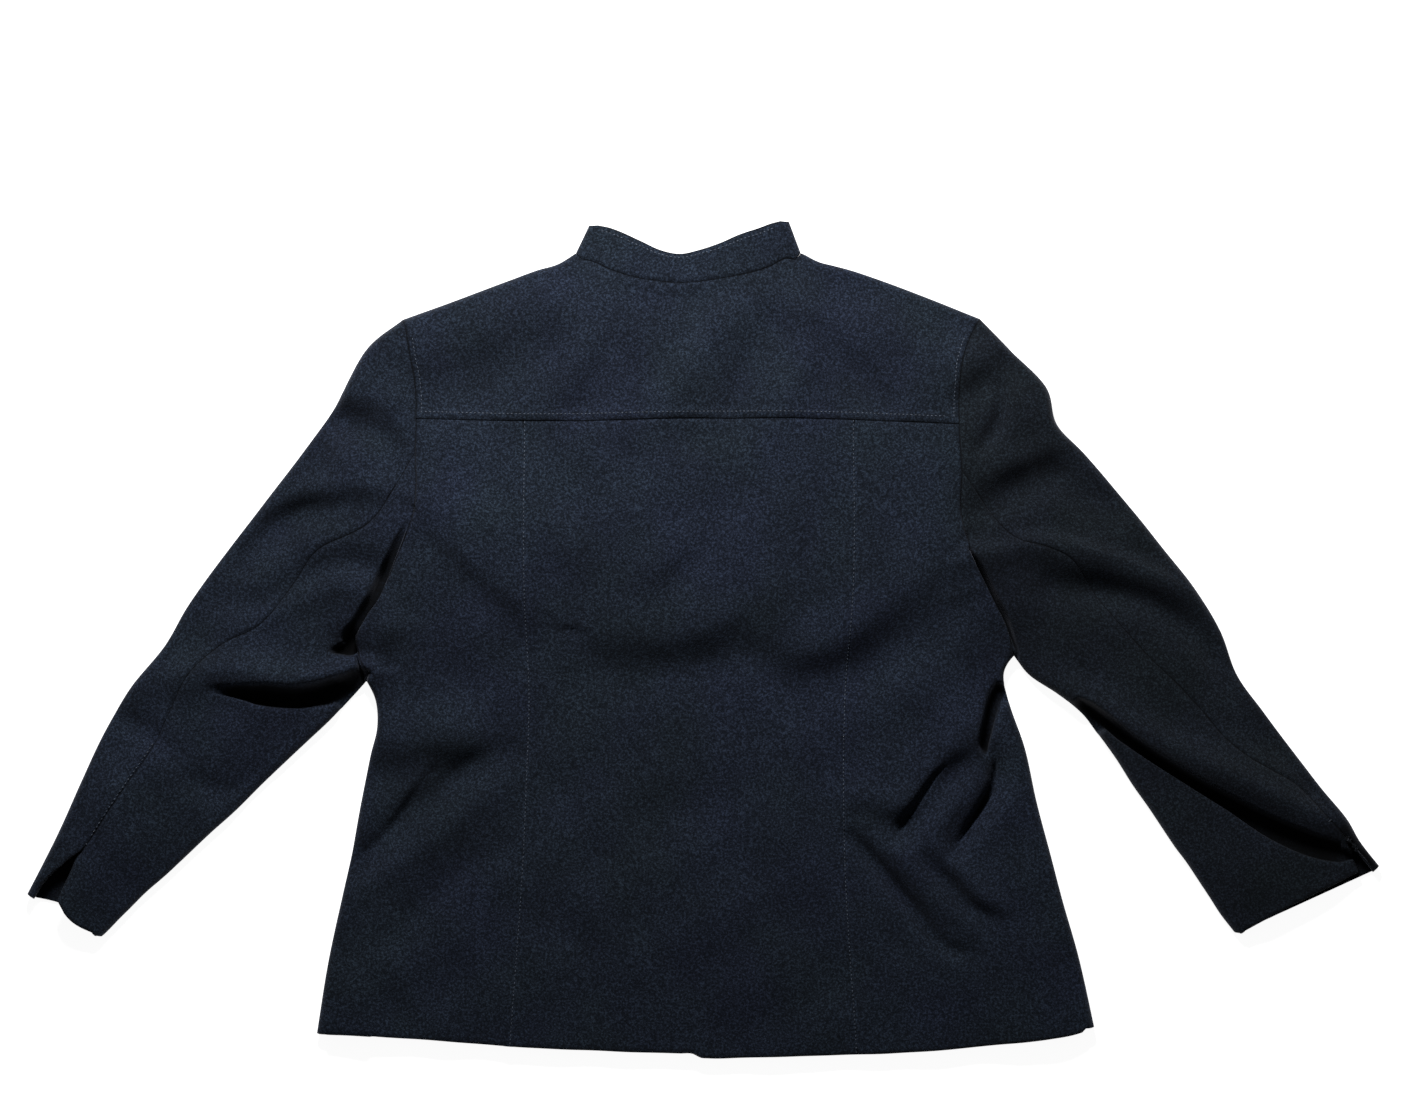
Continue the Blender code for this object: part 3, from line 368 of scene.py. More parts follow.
def settle(places):
    """Points of the cloth on top at places on the surface, with the lips and the pockets under them."""
    x, y = places.reshape(-1, 2).T.copy()
    inside = ease((from_edges(x, y) - ROLL) / LIP_FADE)
    for _, _, _, path in LIP_PATHS:
        close = near(path, x, y, FADED * LIP_CLOSE_REACH)
        if close.any():
            away, turn, share, left_x, left_y = beside(path, x[close], y[close])
            drawn_in = -LIP_CLOSE * away * turn * np.exp(-(away / LIP_CLOSE_REACH) ** 2)
            drawn_in = drawn_in * ease(LIP_CLOSE_RISE * share) * inside[close]
            x[close] += drawn_in * left_x
            y[close] += drawn_in * left_y
    z = lay(x, y)
    moved_x = x.copy()
    moved_y = y.copy()
    for depth, reach, lean, path in LIP_PATHS:
        close = near(path, x, y, max(reach, FADED * LIP_BEHIND))
        if close.any():
            away, turn, share, left_x, left_y = beside(path, x[close], y[close])
            past = away * turn
            far = reach * (POCKET_TAPER + (1 - POCKET_TAPER) * share)
            wall = ease((past / far - POCKET_FLOOR) / (1 - POCKET_FLOOR))
            sunk = ease((past + LIP_START) / LIP_STEP) * (1 - wall) * (past > -LIP_START)
            z[close] -= depth * share * sunk
            share = np.minimum(share, 1)
            z[close] -= share * np.exp(-(past / LIP_ROUND) ** 2) * (past < LIP_ROUND_END)
            lean_by = lean * share * np.exp(-(past / np.where(past < 0, LIP_BEHIND, LIP_UNDER)) ** 2)
            lean_by = lean_by * inside[close]
            moved_x[close] += lean_by * left_x
            moved_y[close] += lean_by * left_y
    z = LOWEST + LOWEST_BLEND * np.logaddexp(0, (z - LOWEST) / LOWEST_BLEND)
    return np.stack([moved_x, moved_y, z], axis=-1).reshape(places.shape[:-1] + (3,))


def roll(point, outward):
    """Points round a folded edge, from the top cloth down to the surface."""
    turns = np.linspace(0, math.pi, ROLL_STEPS + 1)
    out = ROLL * np.sin(turns)
    return np.stack([point[0] + out * outward[0], point[1] + out * outward[1],
                     point[2] * (1 + np.cos(turns)) / 2], axis=-1)


SIGN = {"left": -1.0, "right": 1.0}     # the way out from the middle, along x
SIDE_STEP = 1.0         # how far to each side the slope of an edge is read: down the side,
SHOULDER_STEP = 4.0     # along a shoulder,
SLEEVE_STEP = 0.3       # and along a sleeve, in rows of its table
FROM_ARMHOLE = 10.0     # how far in from its ends a shoulder's slope is read for the corners
FROM_NECK = 15.0
NECK_RISE = 0.5         # slope of the collar's end
UNDERARM_TURN = 20.0    # how far down the side the roll takes to turn from the underarm's way to the side's
UNDERARM_BLEND = 6.0    # how far down the side's edge takes to leave the underarm point


def side_normal(side, y):
    """Outward direction of the folded side of the body."""
    step = smooth(SIDE[side], y + SIDE_STEP) - smooth(SIDE[side], y - SIDE_STEP)
    return unit((2 * SIDE_STEP, -step)) * SIGN[side]


def shoulder_normal(side, x):
    """Outward direction of the folded shoulder."""
    step = smooth(SHOULDER[side], x + SHOULDER_STEP) - smooth(SHOULDER[side], x - SHOULDER_STEP)
    return unit((-step, 2 * SHOULDER_STEP))


def sleeve_normal(side, which, row):
    """Outward direction of a sleeve's outer or inner fold."""
    last = len(SLEEVE[side]) - 1
    along = unit(sleeve_line(side, which, min(row + SLEEVE_STEP, last))
                 - sleeve_line(side, which, max(row - SLEEVE_STEP, 0)))
    turn = SIGN[side] if which == 0 else -SIGN[side]
    return np.array([-along[1], along[0]]) * turn


def corner_direction(side, where):
    """Direction of the roll at a corner, half way between the two edges that meet there."""
    if where == "shoulder":
        first = sleeve_normal(side, 0, 0.0)
        second = shoulder_normal(side, SHOULDER_POINT[side][0] - SIGN[side] * FROM_ARMHOLE)
    elif where == "underarm":
        first = sleeve_normal(side, 2, 0.0)
        second = np.array([SIGN[side], 0.0])
    else:
        first = shoulder_normal(side, NECK_POINT[side][0] + SIGN[side] * FROM_NECK)
        second = unit((SIGN[side], NECK_RISE))
    return unit(first + second)


def corner(side, where):
    """Place where the cloth on top ends at a corner."""
    place = {"shoulder": SHOULDER_POINT, "underarm": UNDERARM, "neck": NECK_POINT}[where][side]
    return np.array(place) - ROLL * corner_direction(side, where)


ARMHOLE_ROWS = {}
ARMHOLE_STOPS = {}
for hand in HANDS:
    top, low = corner(hand, "shoulder"), corner(hand, "underarm")
    ARMHOLE_ROWS[hand] = [(top[1], top[0])] + ARMHOLE[hand] + [(low[1], low[0])]
    yoke_end = float(smooth(YOKE_SEAM, smooth(ARMHOLE_ROWS[hand], YOKE_SEAM[0][1])))
    ARMHOLE_STOPS[hand] = [top[1], yoke_end, SLEEVE[hand][0][3], low[1]]


def armhole(side, stage):
    """Place on the back armhole: 0 shoulder, 1 yoke seam, 2 elbow seam, 3 underarm."""
    y = np.interp(stage, [0, 1, 2, 3], ARMHOLE_STOPS[side])
    return np.stack([smooth(ARMHOLE_ROWS[side], y), y], axis=-1)


def side_end(side, stage):
    """Where the cloth on top ends at the side, 2 at the underarm to 3 at the hem, and the way of the roll."""
    start_x, start_y = UNDERARM[side]
    y = start_y + (SIDE[side][0][0] - start_y) * (stage - 2)
    close = math.exp((y - start_y) / UNDERARM_TURN)
    outward = unit((1 - close) * side_normal(side, y) + close * corner_direction(side, "underarm"))
    left_over = (start_x - smooth(SIDE[side], start_y)) * math.exp((y - start_y) / UNDERARM_BLEND)
    x = float(smooth(SIDE[side], y) + left_over)
    return np.array([x, y]) - ROLL * outward, outward


def body_end(side, stage):
    """Place where a row of the body ends: 0 yoke seam, 1 elbow seam, 2 underarm, 3 hem."""
    if stage <= 2:
        return armhole(side, stage + 1)
    return side_end(side, stage)[0]


SEAM_STEPS = [0.4, 1.0, 1.9]    # where the first facets beside a seam end


def spaced(length, cell, ends=(True, True)):
    """Shares from 0 to 1 along a length: even, and closer beside a seam at either end."""
    start = [0.0] + SEAM_STEPS if ends[0] else [0.0]
    end = [0.0] + SEAM_STEPS if ends[1] else [0.0]
    count = max(2, int(round((length - start[-1] - end[-1]) / cell)))
    middle = np.linspace(start[-1], length - end[-1], count + 1)
    return np.concatenate([start[:-1], middle, [length - e for e in end[:-1]][::-1]]) / length


YOKE_TO_ELBOW = 30.0    # lengths of the body's stretches down its sides
ELBOW_TO_UNDERARM = 160.0
UNDERARM_TO_HEM = 275.0
BODY_STAGES = np.concatenate([
    spaced(YOKE_TO_ELBOW, CELL, ends=(True, False)),
    1 + spaced(ELBOW_TO_UNDERARM, CELL, ends=(False, False))[1:],
    2 + spaced(UNDERARM_TO_HEM, CELL, ends=(False, True))[1:],
])


def body_places(across, panel):
    """Places of a panel of the body (0 left side, 1 centre, 2 right side), row by row from the yoke seam."""
    rows = []
    for stage in BODY_STAGES:
        start = body_end("left", stage)
        end = body_end("right", stage)
        shares = []
        for point in (start, end):
            hem = smooth(BACK_HEM, point[0])
            shares.append(float((point[1] - hem) / (smooth(YOKE_SEAM, point[0]) - hem)))
        if stage == BODY_STAGES[-1]:
            shares = [0.0, 0.0]

        def height(x):
            share = shares[0] + (shares[1] - shares[0]) * (x - start[0]) / (end[0] - start[0])
            return smooth(BACK_HEM, x) * (1 - share) + smooth(YOKE_SEAM, x) * share

        seams = [float(smooth(PRINCESS[hand], height(PRINCESS[hand][-1][1]))) for hand in HANDS]
        stops = [start[0], *seams, end[0]]
        x = stops[panel] + (stops[panel + 1] - stops[panel]) * across
        y = height(x)
        if panel == 0:
            y[0] = start[1]
        if panel == 2:
            y[-1] = end[1]
        rows.append(np.stack([x, y], axis=-1))
    return np.array(rows)


def grid_quads(points, top_quad):
    """The quads of a grid of points, turned so that the one given by its row and column looks up."""
    rows, columns = points.shape[:2]
    at = np.arange(rows * columns).reshape(rows, columns)
    quads = np.stack([at[:-1, :-1], at[:-1, 1:], at[1:, 1:], at[1:, :-1]], axis=-1)
    flat = points.reshape(-1, 3)
    a, b, c = (flat[i] for i in quads[top_quad][:3])
    quads = quads.reshape(-1, 4)
    return quads[:, ::-1] if np.cross(b - a, c - b)[2] < 0 else quads


ON_TABLE = 0.01         # cloth no higher than this lies on the table
OFF_TABLE = 0.3         # from this height up it can be seen from above
TOP_LAYER = 3.0         # and from this height up it is the layer on top
SEAM_SINK = 1.1         # how deep the cloth rolls down into a seam
SEAM_REACH = 1.5        # and how far to each side of it
PRINCESS_SINK = 0.35    # the same at a princess seam, which was pressed flat
PRINCESS_REACH = 3.0    # what lies this close to a princess seam's line is cut along it
PRINCESS_TOP = 163      # where these seams meet the yoke's
SEAM_GAP = -0.2         # from the middle of a cut edge to the middle of its seam: the two press together
SEAM_LINE = 0.6         # half width of the line of painted shade in a seam
PRINCESS_LINE = -0.3    # a princess seam's is pale instead
EDGE_ROUND = 0.3        # how far the middle of a cut edge bulges out past its two corners
INNER_FACE_SHADE = 0.75       # painted shade on the cloth's inner face, which lies inside the jacket
POCKET_EDGE = 2.0       # depth in a pocket at which the painted shade on the wool starts
POCKET_DARK = 5.0       # how much deeper the painted shade is at its darkest
POCKET_LOWEST = LOWEST - 0.5    # no pocket reaches lower
POCKET_SPAN = 2         # cloth further from a lip than this many times its reach isn't in its pocket
DECIMALS = 2            # points that are the same to this many decimals of a millimetre are one

# Painted shade on the wool, or (less than 0) painted light, patch by patch: x, y, how far that reaches, by
# how much
PAINTED_SHADE_AND_LIGHT = [(-178, 112, 62, -0.3), (-10, 96, 60, -0.1), (149, 106, 50, -0.05), (195, -46, 40, -0.2),
          (-170, 208, 45, 0.2), (149, 213, 50, 0.08), (-10, -160, 90, 0.06), (-231, -274, 60, -0.1),
          (-398, -122, 60, -0.1), (-205, -102, 28, 0.32), (-290, 172, 50, 0.1), (288, 104, 40, 0.16),
          (111, 203, 20, 0.14), (27, 187, 16, 0.12), (-89, 180, 18, 0.1), (0, 221, 20, -0.16),
          (-38, 187, 18, -0.14), (65, 194, 16, -0.14), (-14, 273, 14, -0.1), (-173, 58, 22, 0.12),
          (-121, 26, 30, 0.08), (125, -135, 12, 0.12), (207, -91, 14, 0.22), (-275, 1, 11, 0.5),
          (148, -139, 10, 0.15), (75, -230, 45, 0.1), (-14, -130, 30, 0.07), (262, -190, 40, 0.08),
          (40, 268, 14, 0.1),
          # these four are painted shade in the right cuff's open vent
          (487, -143, 4.5, 0.95), (495, -152, 5.5, 1.0), (502, -161, 6.5, 1.0), (508, -169, 8, 1.0)]


def painted_pocket_shade(points):
    """How deep points of the cloth lie in a pocket, 0 to 1, which is painted on as shade."""
    x, y, z = points.T
    deep = np.zeros(len(points))
    for _, reach, _, path in LIP_PATHS:
        close = near(path, x, y, POCKET_SPAN * reach) & (z > POCKET_LOWEST)
        if close.any():
            away, turn, share, _, _ = beside(path, x[close], y[close])
            under = (turn > 0) & (away < POCKET_SPAN * reach) & (share > 0)
            below = lay(x[close], y[close]) - z[close]
            deep[close] = np.maximum(deep[close], ease((below - POCKET_EDGE) / POCKET_DARK) * under)
    return deep


def search_tree(places, numbers):
    """Finds the places nearest to another, by their numbers."""
    tree = kdtree.KDTree(len(places))
    for place, number in zip(places, numbers):
        tree.insert(place, number)
    tree.balance()
    return tree


def made_piece(name, points, faces):
    """A smooth-shaded piece in the scene, from its points in millimetres and its faces."""
    mesh = bpy.data.meshes.new(name)
    mesh.from_pydata((points * MM).tolist(), [], faces)
    mesh.polygons.foreach_set("use_smooth", np.ones(len(faces), bool))
    piece = bpy.data.objects.new(name, mesh)
    bpy.context.scene.collection.objects.link(piece)
    return piece


def cloth_piece(name, patches):
    """One piece of cloth: its outer face of grids, the inner face a cloth's thickness in, and round edges."""
    points = np.concatenate([grid.reshape(-1, 3) for grid, _ in patches])
    starts = np.cumsum([0] + [grid[..., 0].size for grid, _ in patches])
    quads = np.concatenate([grid_quads(*patch) + start for patch, start in zip(patches, starts)])
    _, first, same = np.unique(np.round(points, DECIMALS), axis=0, return_index=True, return_inverse=True)
    points = points[first]
    quads = same.ravel()[quads]
    count = len(points)

    normals = np.zeros((count, 3))
    faces = np.cross(points[quads[:, 2]] - points[quads[:, 0]], points[quads[:, 3]] - points[quads[:, 1]])
    for i in range(4):
        np.add.at(normals, quads[:, i], faces)
    normals /= np.linalg.norm(normals, axis=1)[:, None]
    normals[points[:, 2] < ON_TABLE] = (0.0, 0.0, -1.0)

    edges = np.concatenate([quads[:, [i, (i + 1) % 4]] for i in range(4)])
    keys = edges[:, 0] * count + edges[:, 1]
    back = edges[:, 1] * count + edges[:, 0]
    rim = edges[~np.isin(keys, back)]
    inward = np.zeros((count, 3))
    ways = np.cross(normals[rim[:, 0]] + normals[rim[:, 1]], points[rim[:, 1]] - points[rim[:, 0]])
    ways /= np.linalg.norm(ways, axis=1)[:, None]
    np.add.at(inward, rim[:, 0], ways)
    np.add.at(inward, rim[:, 1], ways)
    on_rim = np.unique(rim)
    inward[on_rim] /= np.linalg.norm(inward[on_rim], axis=1)[:, None]
    inward[points[:, 2] < ON_TABLE, 2] = 0.0

    tree = search_tree(points[on_rim], on_rim)
    found = [tree.find(point) for point in points]
    nearest = np.array([at for _, at, _ in found])
    distance = np.array([away for _, _, away in found])
    flat_seam = np.min([beside([(x, y, 0) for y, x in PRINCESS[hand]], points[:, 0], points[:, 1])[0]
                        for hand in HANDS], axis=0) < PRINCESS_REACH
    flat_seam &= points[:, 1] < PRINCESS_TOP
    sink = np.where(flat_seam, PRINCESS_SINK, SEAM_SINK)[nearest]
    line = np.where(flat_seam, PRINCESS_LINE, 1.0)[nearest]
    above = points[:, 2] > TOP_LAYER
    sunk = sink * np.exp(-(distance / SEAM_REACH) ** 2) * above * np.clip(normals[:, 2], 0, 1) ** 2

    outer = points - normals * sunk[:, None] + inward * (SEAM_GAP + EDGE_ROUND)
    inner = outer - normals * CLOTH
    middle = (outer + inner)[on_rim] / 2 - inward[on_rim] * EDGE_ROUND
    place = np.zeros(count, int)
    place[on_rim] = 2 * count + np.arange(len(on_rim))
    a, b = rim[:, 0], rim[:, 1]
    faces = np.concatenate([quads, quads[:, ::-1] + count,
                            np.stack([b, a, place[a], place[b]], axis=-1),
                            np.stack([place[b], place[a], a + count, b + count], axis=-1)])
    piece = made_piece(name, np.concatenate([outer, inner, middle]), faces.tolist())
    # painted shade and painted light of the listed patches
    painted_patches = np.sum([by * np.exp(-((points[:, 0] - x) ** 2 + (points[:, 1] - y) ** 2) / reach ** 2)
                     for x, y, reach, by in PAINTED_SHADE_AND_LIGHT], axis=0)
    # painted shade: a dark line along each seam, and the rims of the cut edges painted dark too
    seam_line = line * np.exp(-(distance / SEAM_LINE) ** 2)
    # painted shade in the seams and in the pockets, on the top layer only
    shown = (np.where(line < 0, seam_line, np.maximum(seam_line, painted_pocket_shade(points))) * above
             + painted_patches * (points[:, 2] > OFF_TABLE))
    # the 'dark' attribute: painted shade on the top layer, on the inner face and on the rims
    dark = piece.data.attributes.new("dark", "FLOAT", "POINT")
    dark.data.foreach_set("value", np.concatenate([shown, np.full(count, INNER_FACE_SHADE), line[on_rim]]))
    return piece


def linear(code):
    """Linear colour of an sRGB hex value."""
    parts = [int(code[i:i + 2], 16) / 255 for i in (1, 3, 5)]
    return tuple(c / 12.92 if c <= 0.04045 else ((c + 0.055) / 1.055) ** 2.4 for c in parts) + (1.0,)


def set_inputs(tree, node, inputs):
    """Gives a node its values and links."""
    for name, value in dict(inputs).items():
        if isinstance(value, bpy.types.NodeSocket):
            tree.links.new(value, node.inputs[name])
        else:
            node.inputs[name].default_value = value


def add_node(tree, kind, inputs=(), **settings):
    """Adds a node to a material, with its settings, values and links."""
    node = tree.nodes.new(kind)
    for name, value in settings.items():
        setattr(node, name, value)
    set_inputs(tree, node, inputs)
    return node


def new_material(name):
    """A material, its nodes, its shader, and places on the piece that wears it."""
    material = bpy.data.materials.new(name)
    material.use_nodes = True
    tree = material.node_tree
    place = add_node(tree, "ShaderNodeTexCoord").outputs["Object"]
    return material, tree, tree.nodes["Principled BSDF"], place


def wool_crepe(name, painted_shade_tint):
    """Fulled wool crepe, piece-dyed black navy: short matt pile, pebbled grain, paler fibre ends, with a tint
    of painted shade.
    """
    material, tree, shader, place = new_material(name)
    # dye and pressing marks, about 45 mm across
    patches = add_node(tree, "ShaderNodeTexNoise", {"Vector": place, "Scale": 22.0, "Detail": 3.0})
    # crepe pebbles, 1.7 mm across
    pebbles = add_node(tree, "ShaderNodeTexNoise", {"Vector": place, "Scale": 590.0, "Detail": 2.0,
                                                    "Roughness": 0.6})
    # fibre ends, drawn 0.7 mm across so that they show
    fibres = add_node(tree, "ShaderNodeTexNoise", {"Vector": place, "Scale": 1400.0, "Detail": 1.0})
    grain = add_node(tree, "ShaderNodeMix", {"Factor": 0.35, "A": pebbles.outputs["Fac"],
                                             "B": fibres.outputs["Fac"]})
    spread = add_node(tree, "ShaderNodeMapRange", {"Value": grain.outputs["Result"], "From Min": 0.4,
                                                   "From Max": 0.63})
    wool = add_node(tree, "ShaderNodeValToRGB", {"Fac": spread.outputs["Result"]})
    ramp = wool.color_ramp
    ramp.elements[0].color = linear("#090e15")
    ramp.elements[1].color = linear("#28313f")
    middle = ramp.elements.new(0.5)
    middle.color = linear("#161b25")
    tone = add_node(tree, "ShaderNodeMapRange", {"Value": patches.outputs["Fac"], "From Min": 0.3,
                                                 "From Max": 0.7, "To Min": 0.86, "To Max": 1.14})
    # painted shade in seams, pockets, on the inner face and in the listed patches (painted light where they
    # go below 0) darkens the wool, but never quite to black
    dark = add_node(tree, "ShaderNodeAttribute", attribute_name="dark")
    shaded_tone = add_node(tree, "ShaderNodeMath", {0: dark.outputs["Fac"], 1: -0.85, 2: tone.outputs["Result"]},
                    operation="MULTIPLY_ADD")
    kept = add_node(tree, "ShaderNodeMath", {0: shaded_tone.outputs["Value"], 1: 0.03}, operation="MAXIMUM")
    # the dye took a little greener in places and a little more violet in others
    shade = add_node(tree, "ShaderNodeTexNoise", {"Vector": place, "Scale": 14.0, "Detail": 2.0})
    hue = add_node(tree, "ShaderNodeValToRGB", {"Fac": shade.outputs["Fac"]})
    hue.color_ramp.elements[0].position = 0.35
    hue.color_ramp.elements[0].color = linear("#f6fdf4")
    hue.color_ramp.elements[1].position = 0.65
    hue.color_ramp.elements[1].color = linear("#f6f4ff")
    tinted = add_node(tree, "ShaderNodeVectorMath", {0: wool.outputs["Color"], 1: hue.outputs["Color"]},
                      operation="MULTIPLY")
    # painted shade: a piece turned away from the light is tinted darker and greyer
    side_shaded = add_node(tree, "ShaderNodeVectorMath", {0: tinted.outputs["Vector"], 1: linear(painted_shade_tint)[:3]},
                     operation="MULTIPLY")
    dyed = add_node(tree, "ShaderNodeVectorMath", {0: side_shaded.outputs["Vector"],
                                                   "Scale": kept.outputs["Value"]}, operation="SCALE")
    bump = add_node(tree, "ShaderNodeBump", {"Height": grain.outputs["Result"], "Strength": 0.5,
                                             "Distance": 0.0006})
    rough = add_node(tree, "ShaderNodeMapRange", {"Value": pebbles.outputs["Fac"], "To Min": 0.86,
                                                  "To Max": 0.98})
    set_inputs(tree, shader, {"Base Color": dyed.outputs["Vector"], "Normal": bump.outputs["Normal"],
                              "Roughness": rough.outputs["Result"], "Specular IOR Level": 0.1,
                              "Sheen Weight": 0.05, "Sheen Roughness": 0.5,
                              "Sheen Tint": linear("#dfe6ff")})
    return material


def finish_cloth(piece, node, painted_shade_tint="#ffffff"):
    """Gives a piece of the jacket its wool, hides the frame's part that it stands for, and hangs it on the
    root body.
    """
    piece.data.materials.append(wool_crepe(node + "_wool_crepe", painted_shade_tint))
    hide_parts(node)
    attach(piece, "root")


STITCH = (0.95, 0.42, 0.26)     # half length, half width, half height; drawn thick so that they show
STITCH_PITCH = 3.1
STITCH_UP = 0.05                # how far a stitch's middle lies above the cloth
STITCH_AHEAD = 0.5              # how far ahead of its middle its direction is read
NEAREST = 4                     # points of the cloth that a stitch's height is worked out from
NEAREST_SOFT = 0.05


def spun_thread(name):
    """Spun polyester thread, a few shades paler than the wool: close-spun, so it catches a little light."""
    material, tree, shader, place = new_material(name)
    plies = add_node(tree, "ShaderNodeTexNoise", {"Vector": place, "Scale": 900.0, "Detail": 1.0})
    thread = add_node(tree, "ShaderNodeValToRGB", {"Fac": plies.outputs["Fac"]})
    thread.color_ramp.elements[0].position = 0.35
    thread.color_ramp.elements[0].color = linear("#1e242e")
    thread.color_ramp.elements[1].position = 0.7
    thread.color_ramp.elements[1].color = linear("#48515f")
    bump = add_node(tree, "ShaderNodeBump", {"Height": plies.outputs["Fac"], "Strength": 0.3,
                                             "Distance": 0.0002})
    set_inputs(tree, shader, {"Base Color": thread.outputs["Color"], "Normal": bump.outputs["Normal"],
                              "Roughness": 0.6, "Specular IOR Level": 0.4})
    return material


THREAD = spun_thread("navy_spun_thread")
bpy.ops.mesh.primitive_uv_sphere_add(segments=6, ring_count=4, radius=1.0)
one_stitch = bpy.context.object
stitch_points = np.array([v.co[:] for v in one_stitch.data.vertices])
stitch_points = stitch_points[:, [2, 0, 1]] * np.array(STITCH)
stitch_faces = [list(face.vertices) for face in one_stitch.data.polygons]
bpy.data.objects.remove(one_stitch, do_unlink=True)


def stitch_row(name, surface, pitch=STITCH_PITCH):
    """Stitches along a line of points on the cloth, with the cloth's normals in the last three columns."""
    line, normals = surface[:, :3], surface[:, 3:]
    length = np.concatenate([[0], np.cumsum(np.linalg.norm(np.diff(line, axis=0), axis=1))])
    at = np.arange(pitch / 2, length[-1] - pitch / 2, pitch)
    points, faces = [], []
    for middle in at:
        place = np.array([np.interp(middle, length, line[:, i]) for i in range(3)])
        ahead = np.array([np.interp(middle + STITCH_AHEAD, length, line[:, i]) for i in range(3)])
        up = unit([np.interp(middle, length, normals[:, i]) for i in range(3)])
        along = unit(ahead - place)
        across = unit(np.cross(up, along))
        frame_of = np.stack([along, across, np.cross(along, across)])
        start = len(points) * len(stitch_points)
        points.append(place + up * STITCH_UP + stitch_points @ frame_of)
        faces.extend([[i + start for i in face] for face in stitch_faces])
    row = made_piece(name, np.concatenate(points), faces)
    row.data.materials.append(THREAD)
    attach(row, "root")
    return row


def on_grid(grid, line):
    """Points and normals of the cloth under a line of x, y, found on a piece's own grid."""
    flat = grid.reshape(-1, 3)
    rows, columns = grid.shape[:2]
    tree = search_tree(flat * (1, 1, 0), range(len(flat)))
    found = []
    for x, y in line:
        near_points = tree.find_n((x, y, 0), NEAREST)
        weights = np.array([1 / (NEAREST_SOFT + far) for _, _, far in near_points])
        z = np.sum(weights * [flat[i][2] for _, i, _ in near_points]) / weights.sum()
        i = near_points[0][1]
        r, c = min(max(i // columns, 1), rows - 2), min(max(i % columns, 1), columns - 2)
        normal = unit(np.cross(grid[r, c + 1] - grid[r, c - 1], grid[r + 1, c] - grid[r - 1, c]))
        found.append((x, y, z, *(normal if normal[2] > 0 else -normal)))
    return np.array(found)


def on_column(grid, column):
    """Points and normals of the cloth down one column of a grid."""
    normals = np.cross(grid[:, column + 1] - grid[:, column - 1], np.gradient(grid[:, column], axis=0))
    normals = normals * np.where(normals[:, 2:] < 0, -1.0, 1.0)
    return np.concatenate([grid[:, column], normals], axis=1)


CENTRE_BACK_WIDTH = 250.0
PRINCESS_COLUMN = 2     # the column of the panel's grid that the stitches follow, 1 mm from the seam
places = body_places(spaced(CENTRE_BACK_WIDTH, CELL), 1)
centre_grid = settle(places)
centre_back = cloth_piece("centre_back_cloth", [(centre_grid, (0, 0))])
princess_rows = [stitch_row("princess_topstitch_left", on_column(centre_grid, PRINCESS_COLUMN)),
                 stitch_row("princess_topstitch_right", on_column(centre_grid, -1 - PRINCESS_COLUMN))]
finish_cloth(centre_back, "centre_back")

# Side backs: from each princess seam to the side, where the wool rolls over to the front on the table.
# The same wool crepe, joined to the centre back with a plain pressed seam.

SIDE_BACK_WIDTH = 120.0


def side_back(side):
    """The cloth on top and the roll down the side."""
    ends = (False, True) if side == "left" else (True, False)
    places = body_places(spaced(SIDE_BACK_WIDTH, CELL, ends=ends), 0 if side == "left" else 2)
    grid = settle(places)
    column = 0 if side == "left" else -1
    folded = BODY_STAGES >= 2
    rolls = [roll(point, side_end(side, stage)[1])
             for point, stage in zip(grid[folded, column], BODY_STAGES[folded])]
    name = "side_back_" + side
    return cloth_piece(name + "_cloth", [(grid, (0, 0)), (np.array(rolls), (0, 0))]), grid


side_back_left, side_left_grid = side_back("left")
finish_cloth(side_back_left, "side_back_left")
side_back_right, side_right_grid = side_back("right")
finish_cloth(side_back_right, "side_back_right")

# Back yoke: one piece across the shoulders, rolled over them to the fronts, its lower edge topstitched.
# Its seam stands a little proud of the back, because the seam allowances are pressed up under it.

NECK_SEAM = [(-86, 288), (-70, 281), (-51, 275), (-31, 272), (-13, 271), (5, 273), (22, 276),
             (36, 279), (51, 284), (63, 290)]
YOKE_WIDTH = 430.0
YOKE_HEIGHT = 118.0
YOKE_PROUD = 0.7        # how far its lower edge stands above the back
YOKE_BAND = 7.0         # depth of that edge
YOKE_FALL = 4.0         # how far it takes to come down to the rest of the yoke
SHOULDER_PART = 7 / 30  # share of the yoke's top that a shoulder takes, and of its foot that a side back does
SIDE_PART = 8 / 30
SHOULDER_TURN = 6.0     # how fast the roll turns at the two ends of a shoulder
ROUNDING = 1e-9         # room for a share that comes out a hair above 1
YOKE_STITCHES = np.linspace(-211, 186, 200)     # places along the row over the yoke's edge
YOKE_STITCH_IN = 5.0    # how far in from the edge it runs
ARMHOLE_STITCHES = np.linspace(0.12, 0.97, 60)  # places down an armhole, 0 shoulder to 1 yoke seam
ARMHOLE_STITCH_IN = 4.0


def shoulder_end(side, part):
    """Where the cloth on top ends along a shoulder (0 armhole, 1 neck), and the direction of the roll."""
    if part <= 0 or part >= 1:
        where = "shoulder" if part <= 0 else "neck"
        return corner(side, where), corner_direction(side, where)
    x = SHOULDER_POINT[side][0] + (NECK_POINT[side][0] - SHOULDER_POINT[side][0]) * part
    near_start = math.exp(-part * SHOULDER_TURN)
    near_end = math.exp(-(1 - part) * SHOULDER_TURN)
    outward = unit(corner_direction(side, "shoulder") * near_start + corner_direction(side, "neck") * near_end
                   + shoulder_normal(side, x) * (1 - near_start) * (1 - near_end))
    return np.array([x, float(smooth(SHOULDER[side], x))]) - ROLL * outward, outward


def neck_places(share):
    """Places on the back neck seam, from left to right."""
    start, end = corner("left", "neck"), corner("right", "neck")
    x = start[0] + (end[0] - start[0]) * share
    return np.stack([x, smooth([tuple(start)] + NECK_SEAM + [tuple(end)], x)], axis=-1)


